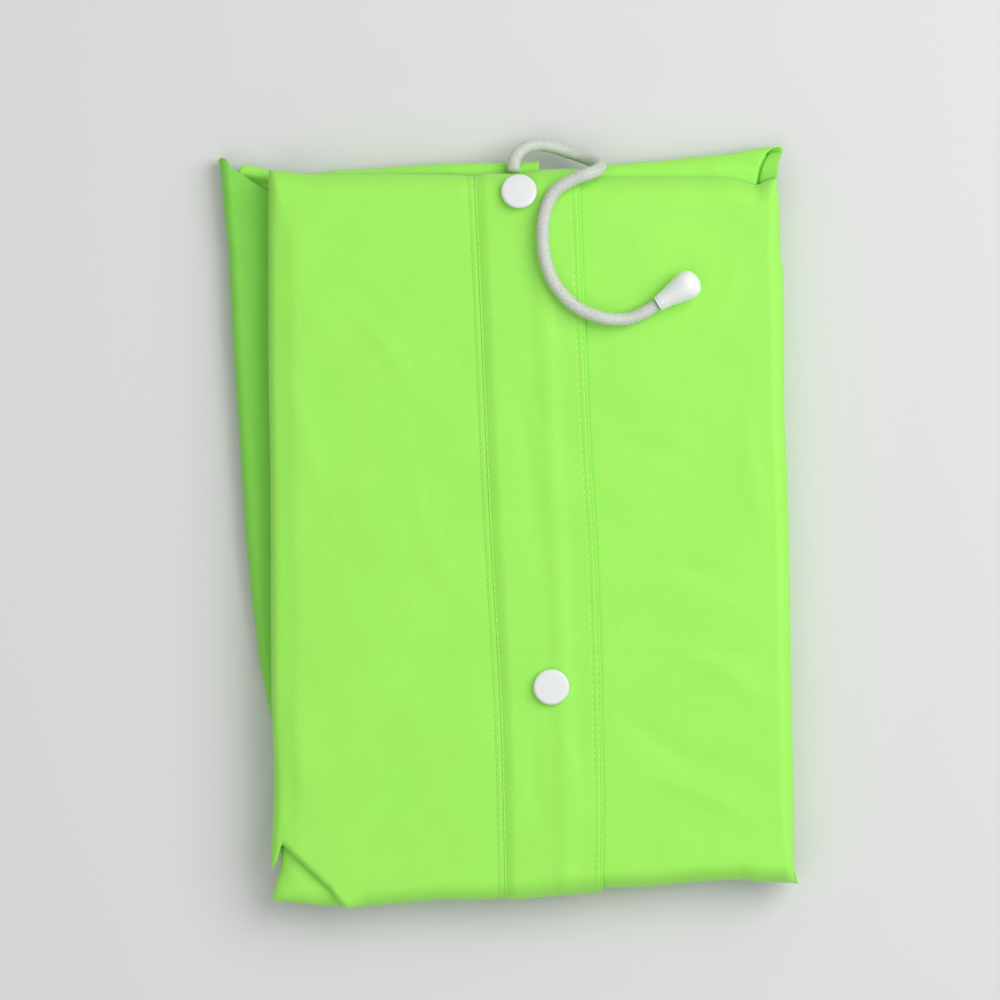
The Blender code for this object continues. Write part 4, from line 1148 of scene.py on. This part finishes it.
def stitches(name, lines):
    """One mesh of all the stitches on some lines that lie on the cloth."""
    made = []
    for line in lines:
        starts = np.arange(STITCH_STEP, along_line(line)[-1] - STITCH_STEP, STITCH_STEP)
        starts = starts + chance.uniform(-STITCH_STRAYS, STITCH_STRAYS, len(starts))
        ends = starts + STITCH_LONG + chance.uniform(-STITCH_STRAYS, STITCH_LONGER, len(starts))
        made += [one_stitch(a, b) for a, b in zip(at_distance(line, starts), at_distance(line, ends))]
    faces = ring_faces(AROUND_STITCH, len(STITCH_PROFILE))
    firsts = range(0, len(made) * len(made[0]), len(made[0]))
    all_faces = [[first + corner for corner in face] for first in firsts for face in faces]
    return add_mesh(name, np.vstack(made), all_faces, STITCH_THREAD)


def face_line(outer, columns, table, distance):
    """The line on a dressed face at a distance to the right of an edge, one point a row."""
    line = []
    for row in outer[:, columns]:
        away = row[:, 0] - edge(table, row[:, 1]) - distance
        k = int(np.argmax(away > 0))
        share = -away[k - 1] / (away[k] - away[k - 1])
        line.append(mix(row[k - 1], row[k], share))
    return np.array(line)


seam_row = face_line(flap_outer, ON_TOP, FLAP_SEAM, SEAM_ROW)
edge_rows = [face_line(flap_outer, ON_TOP, FLAP_FREE, -distance) for distance in EDGE_ROWS]
front_row = face_line(left_outer, NEAR_SEAM, FLAP_SEAM, -BAND_WIDE)
seam_stitches = stitches("seam_stitches", [seam_row])
edge_stitches = stitches("edge_stitches", edge_rows)
front_stitches = stitches("front_stitches", [front_row])

# %% [markdown]
# ## The drawstring and its moulded end
# A round braid of sixteen strands: eight wind each way and pass over and under each other. A tube that
# follows the cord's own line carries that relief. The end is moulded plastic, narrow where it grips the
# cord and fat at its far side, made by turning a profile about the cord's last direction.

# %% Drawstring
AROUND_CORD = 48
STRANDS, BRAID_TURN, BRAID_HIGH = 8, 20.0, 0.16
CORD_LESS, CORD_ENDS = 0.10, 0.4


def frames_along(line):
    """The direction and two sides at each point of a line, turned as little as can be."""
    way = np.gradient(line, axis=0)
    way /= np.linalg.norm(way, axis=1, keepdims=True)
    side = np.cross(way[0], (0.0, 0.0, 1.0))
    sides = []
    for ahead in way:
        side = side - ahead * (side @ ahead)
        side = side / np.linalg.norm(side)
        sides.append(side)
    sides = np.array(sides)
    return way, sides, np.cross(way, sides)


def braided_tube(name, line):
    """A round tube along a line, with the relief of strands that wind both ways; its ends draw in."""
    way, side, up = frames_along(line)
    turn = np.arange(AROUND_CORD) * 2 * pi / AROUND_CORD
    along = along_line(line)[:, None]
    one = np.sin(STRANDS * (turn + 2 * pi * along / BRAID_TURN))
    other = np.sin(STRANDS * (turn - 2 * pi * along / BRAID_TURN))
    radius = CORD_WIDE / 2 - CORD_LESS + BRAID_HIGH * one * other
    radius[[0, -1]] *= CORD_ENDS
    ring = side[:, None] * np.cos(turn)[None, :, None] + up[:, None] * np.sin(turn)[None, :, None]
    points = (line[:, None] + radius[..., None] * ring).reshape(-1, 3)
    return add_mesh(name, points, ring_faces(AROUND_CORD, len(line)), BRAID)


cord = braided_tube("drawstring_braid", cord_line)
print("cord:", len(cord.data.polygons), "faces")

# %% Moulded parts
END_PROFILE = (
    (0.0, 2.9), (0.35, 3.25), (0.9, 3.35), (1.25, 3.2), (1.6, 3.45), (5.0, 4.0), (10.0, 5.2),
    (13.6, 5.95), (16.0, 5.9), (18.2, 4.9), (19.6, 2.9), (20.1, 1.2), (20.2, 0.0),
)
END_SQUARE, END_TILT, END_FATTEST, END_FAT = 32.0, 8.0, 0.7, 6.0
STUD_PROFILE = (
    (0.0, 0.0), (1.2, 0.0), (6.1, 0.0), (6.7, 0.25), (7.3, 0.75), (7.5, 1.25), (7.35, 1.75),
    (6.95, 2.15), (6.3, 2.35), (4.4, 2.5), (2.2, 2.58), (0.0, 2.6),
)
NECK_HALF, NECK_LONG, NECK_INTO = 3.0, 1.6, 0.3
STUD_STEPS, END_STEPS = 60, 70
AROUND_TURNED = 72


def turned(name, profile, start, axis, finish):
    """A round piece about an axis, from a profile of (radius, distance along it) with a tip at each end."""
    way = axis / np.linalg.norm(axis)
    side = np.cross(way, (0.0, 1.0, 0.0) if abs(way[1]) < 0.9 else (1.0, 0.0, 0.0))
    side /= np.linalg.norm(side)
    turn = np.arange(AROUND_TURNED)[:, None] * 2 * pi / AROUND_TURNED
    ring = side * np.cos(turn) + np.cross(way, side) * np.sin(turn)
    body = [(r, d) for r, d in profile if r > 0]
    points = [start + way * d + ring * r for r, d in body]
    tips = [(start + way * d)[None] for _, d in (profile[0], profile[-1])]
    return add_mesh(
        name, np.vstack(points + tips), ring_faces(AROUND_TURNED, len(body), tips=True), finish)


def eased_profile(profile, steps):
    """A profile with smooth points between the given ones, by their distance along it."""
    lines = np.array([(r, d, 0.0) for r, d in profile])
    fine, _ = smooth_line(lines, steps)
    return [(max(0.0, r), d) for r, d, _ in fine[1:-1]]


def stud(name):
    x, y, lean, lift = STUDS[name]
    axis = np.array((0.0, sin(radians(lean)), cos(radians(lean))))
    start = np.array((x, y, float(over_height(x, y)) + lift))
    cap = [STUD_PROFILE[0], *eased_profile(STUD_PROFILE, STUD_STEPS), STUD_PROFILE[-1]]
    tall = NECK_LONG + NECK_INTO
    neck = [(0.0, 0.0), (NECK_HALF, 0.0), (NECK_HALF, tall), (0.0, tall)]
    return (
        turned(name + "_cap", cap, start, axis, STUD_PLASTIC),
        turned(name + "_neck", neck, start - axis * NECK_LONG, axis, STUD_PLASTIC),
    )


def moulded_end():
    """The cord's end, lifted where its fat part would otherwise sink into the cloth."""
    square, tilt = radians(END_SQUARE), radians(END_TILT)
    axis = np.array((cos(square), sin(square), sin(tilt)))
    axis /= np.linalg.norm(axis)
    long = END_PROFILE[-1][0]
    start = cord_line[-1] + axis * GAP
    middle = start + axis * long * END_FATTEST
    start[2] += max(0.0, float(over_height(middle[0], middle[1])) + END_FAT + CORD_LIFT - middle[2])
    profile = eased_profile([(r, d) for d, r in END_PROFILE], END_STEPS)
    return turned(
        "cord_end_moulding", [(0.0, 0.0), *profile, (0.0, long)], start, axis, END_PLASTIC_PAINTED_LIGHT)


studs = {name: stud(name) for name in STUDS}
end_piece = moulded_end()
print("moulded:", len(end_piece.data.polygons), "faces")

# %% [markdown]
# ## What each piece is
# Each dressed cloth stands for its solid. The table lists the size of the cut that shows, its area and what
# it rests on, but the script only hides the solids, and those of the cord, its end and the studs. The
# stitches and stud necks are extra pieces on the cloth.

# %% Hiding the solids
RESTS = "folded_layers"
CUTS = (
    (left_front, "front_left", (0.130, 0.312), None, RESTS),
    (right_front, "front_right", (0.130, 0.312), 0.0375, RESTS),
    (flap, "storm_flap", (0.054, 0.310), None, left_front),
    (small_cloths["sleeve_strip"], "sleeve_strip", (0.034, 0.242), 0.0070, RESTS),
    (small_cloths["sleeve_ear"], "sleeve_ear", (0.017, 0.011), None, RESTS),
    (small_cloths["hood_back"], "hood_back", (0.098, 0.019), 0.0016, RESTS),
    (small_cloths["hood_roll"], "hood_roll", (0.079, 0.026), 0.0017, RESTS),
    (small_cloths["hood_inner"], "hood_inner", (0.028, 0.020), 0.0005, small_cloths["hood_roll"]),
    (small_cloths["hem_corner"], "hem_corner", (0.042, 0.037), 0.0013, RESTS),
    (small_cloths["hem_ear"], "hem_ear", (0.010, 0.010), 0.00008, RESTS),
    (stack, "folded_layers", (0.235, 0.310), None, "floor"),
)
for piece, node, flat, area, under in CUTS:
    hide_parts(node)
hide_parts("drawstring")
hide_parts("cord_end")
for name, (cap, neck) in studs.items():
    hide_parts(name)
print("declared:", len(CUTS), "cloths and a cord of", round(CORD_LONG), "mm")

# %% [markdown]
# ## Light and floor
# A soft key from the upper right gives the folds a bright side and a shaded one, and a broad fill keeps
# the shade light. The floor is plain and pale, so that the lime stays the picture's only colour.

# %% Studio
LIGHTS = (("key", (1.00, 0.53, 1.28), 1.4, 21.2), ("fill", (-0.3, -0.5, 1.5), 1.4, 5.5))
ALL_ROUND = 0.42
FLOOR_HALF, FLOOR_LOW, FLOOR_GREY = 1.5, 0.0005, 0.70


def area_light(name, place, wide, power):
    """A soft square light at a place, aimed at the coat's middle."""
    data = bpy.data.lights.new(name, "AREA")
    data.shape = "SQUARE"
    data.size = wide
    data.energy = power
    made = add_object(name, data, place)
    made.rotation_euler = (-Vector(place)).to_track_quat("-Z", "Y").to_euler()
    return made


def add_floor():
    mesh = bpy.data.meshes.new("floor")
    corners = [(a * FLOOR_HALF, b * FLOOR_HALF, 0) for a, b in ((-1, -1), (1, -1), (1, 1), (-1, 1))]
    mesh.from_pydata(corners, [], [(0, 1, 2, 3)])
    finish, tree, shader = new_finish("floor")
    feed(tree, shader, Base_Color=(FLOOR_GREY, FLOOR_GREY, FLOOR_GREY, 1), Roughness=0.85)
    mesh.materials.append(finish)
    add_object("floor", mesh, (0, 0, -FLOOR_LOW))


add_floor()
lights = [area_light(*light) for light in LIGHTS]
world = bpy.data.worlds.new("studio")
world.use_nodes = True
feed(world.node_tree, world.node_tree.nodes["Background"], Color=(1, 1, 1, 1), Strength=ALL_ROUND)
bpy.context.scene.world = world
bpy.context.scene.view_settings.view_transform = "Standard"
print("lights:", [light.name for light in lights])
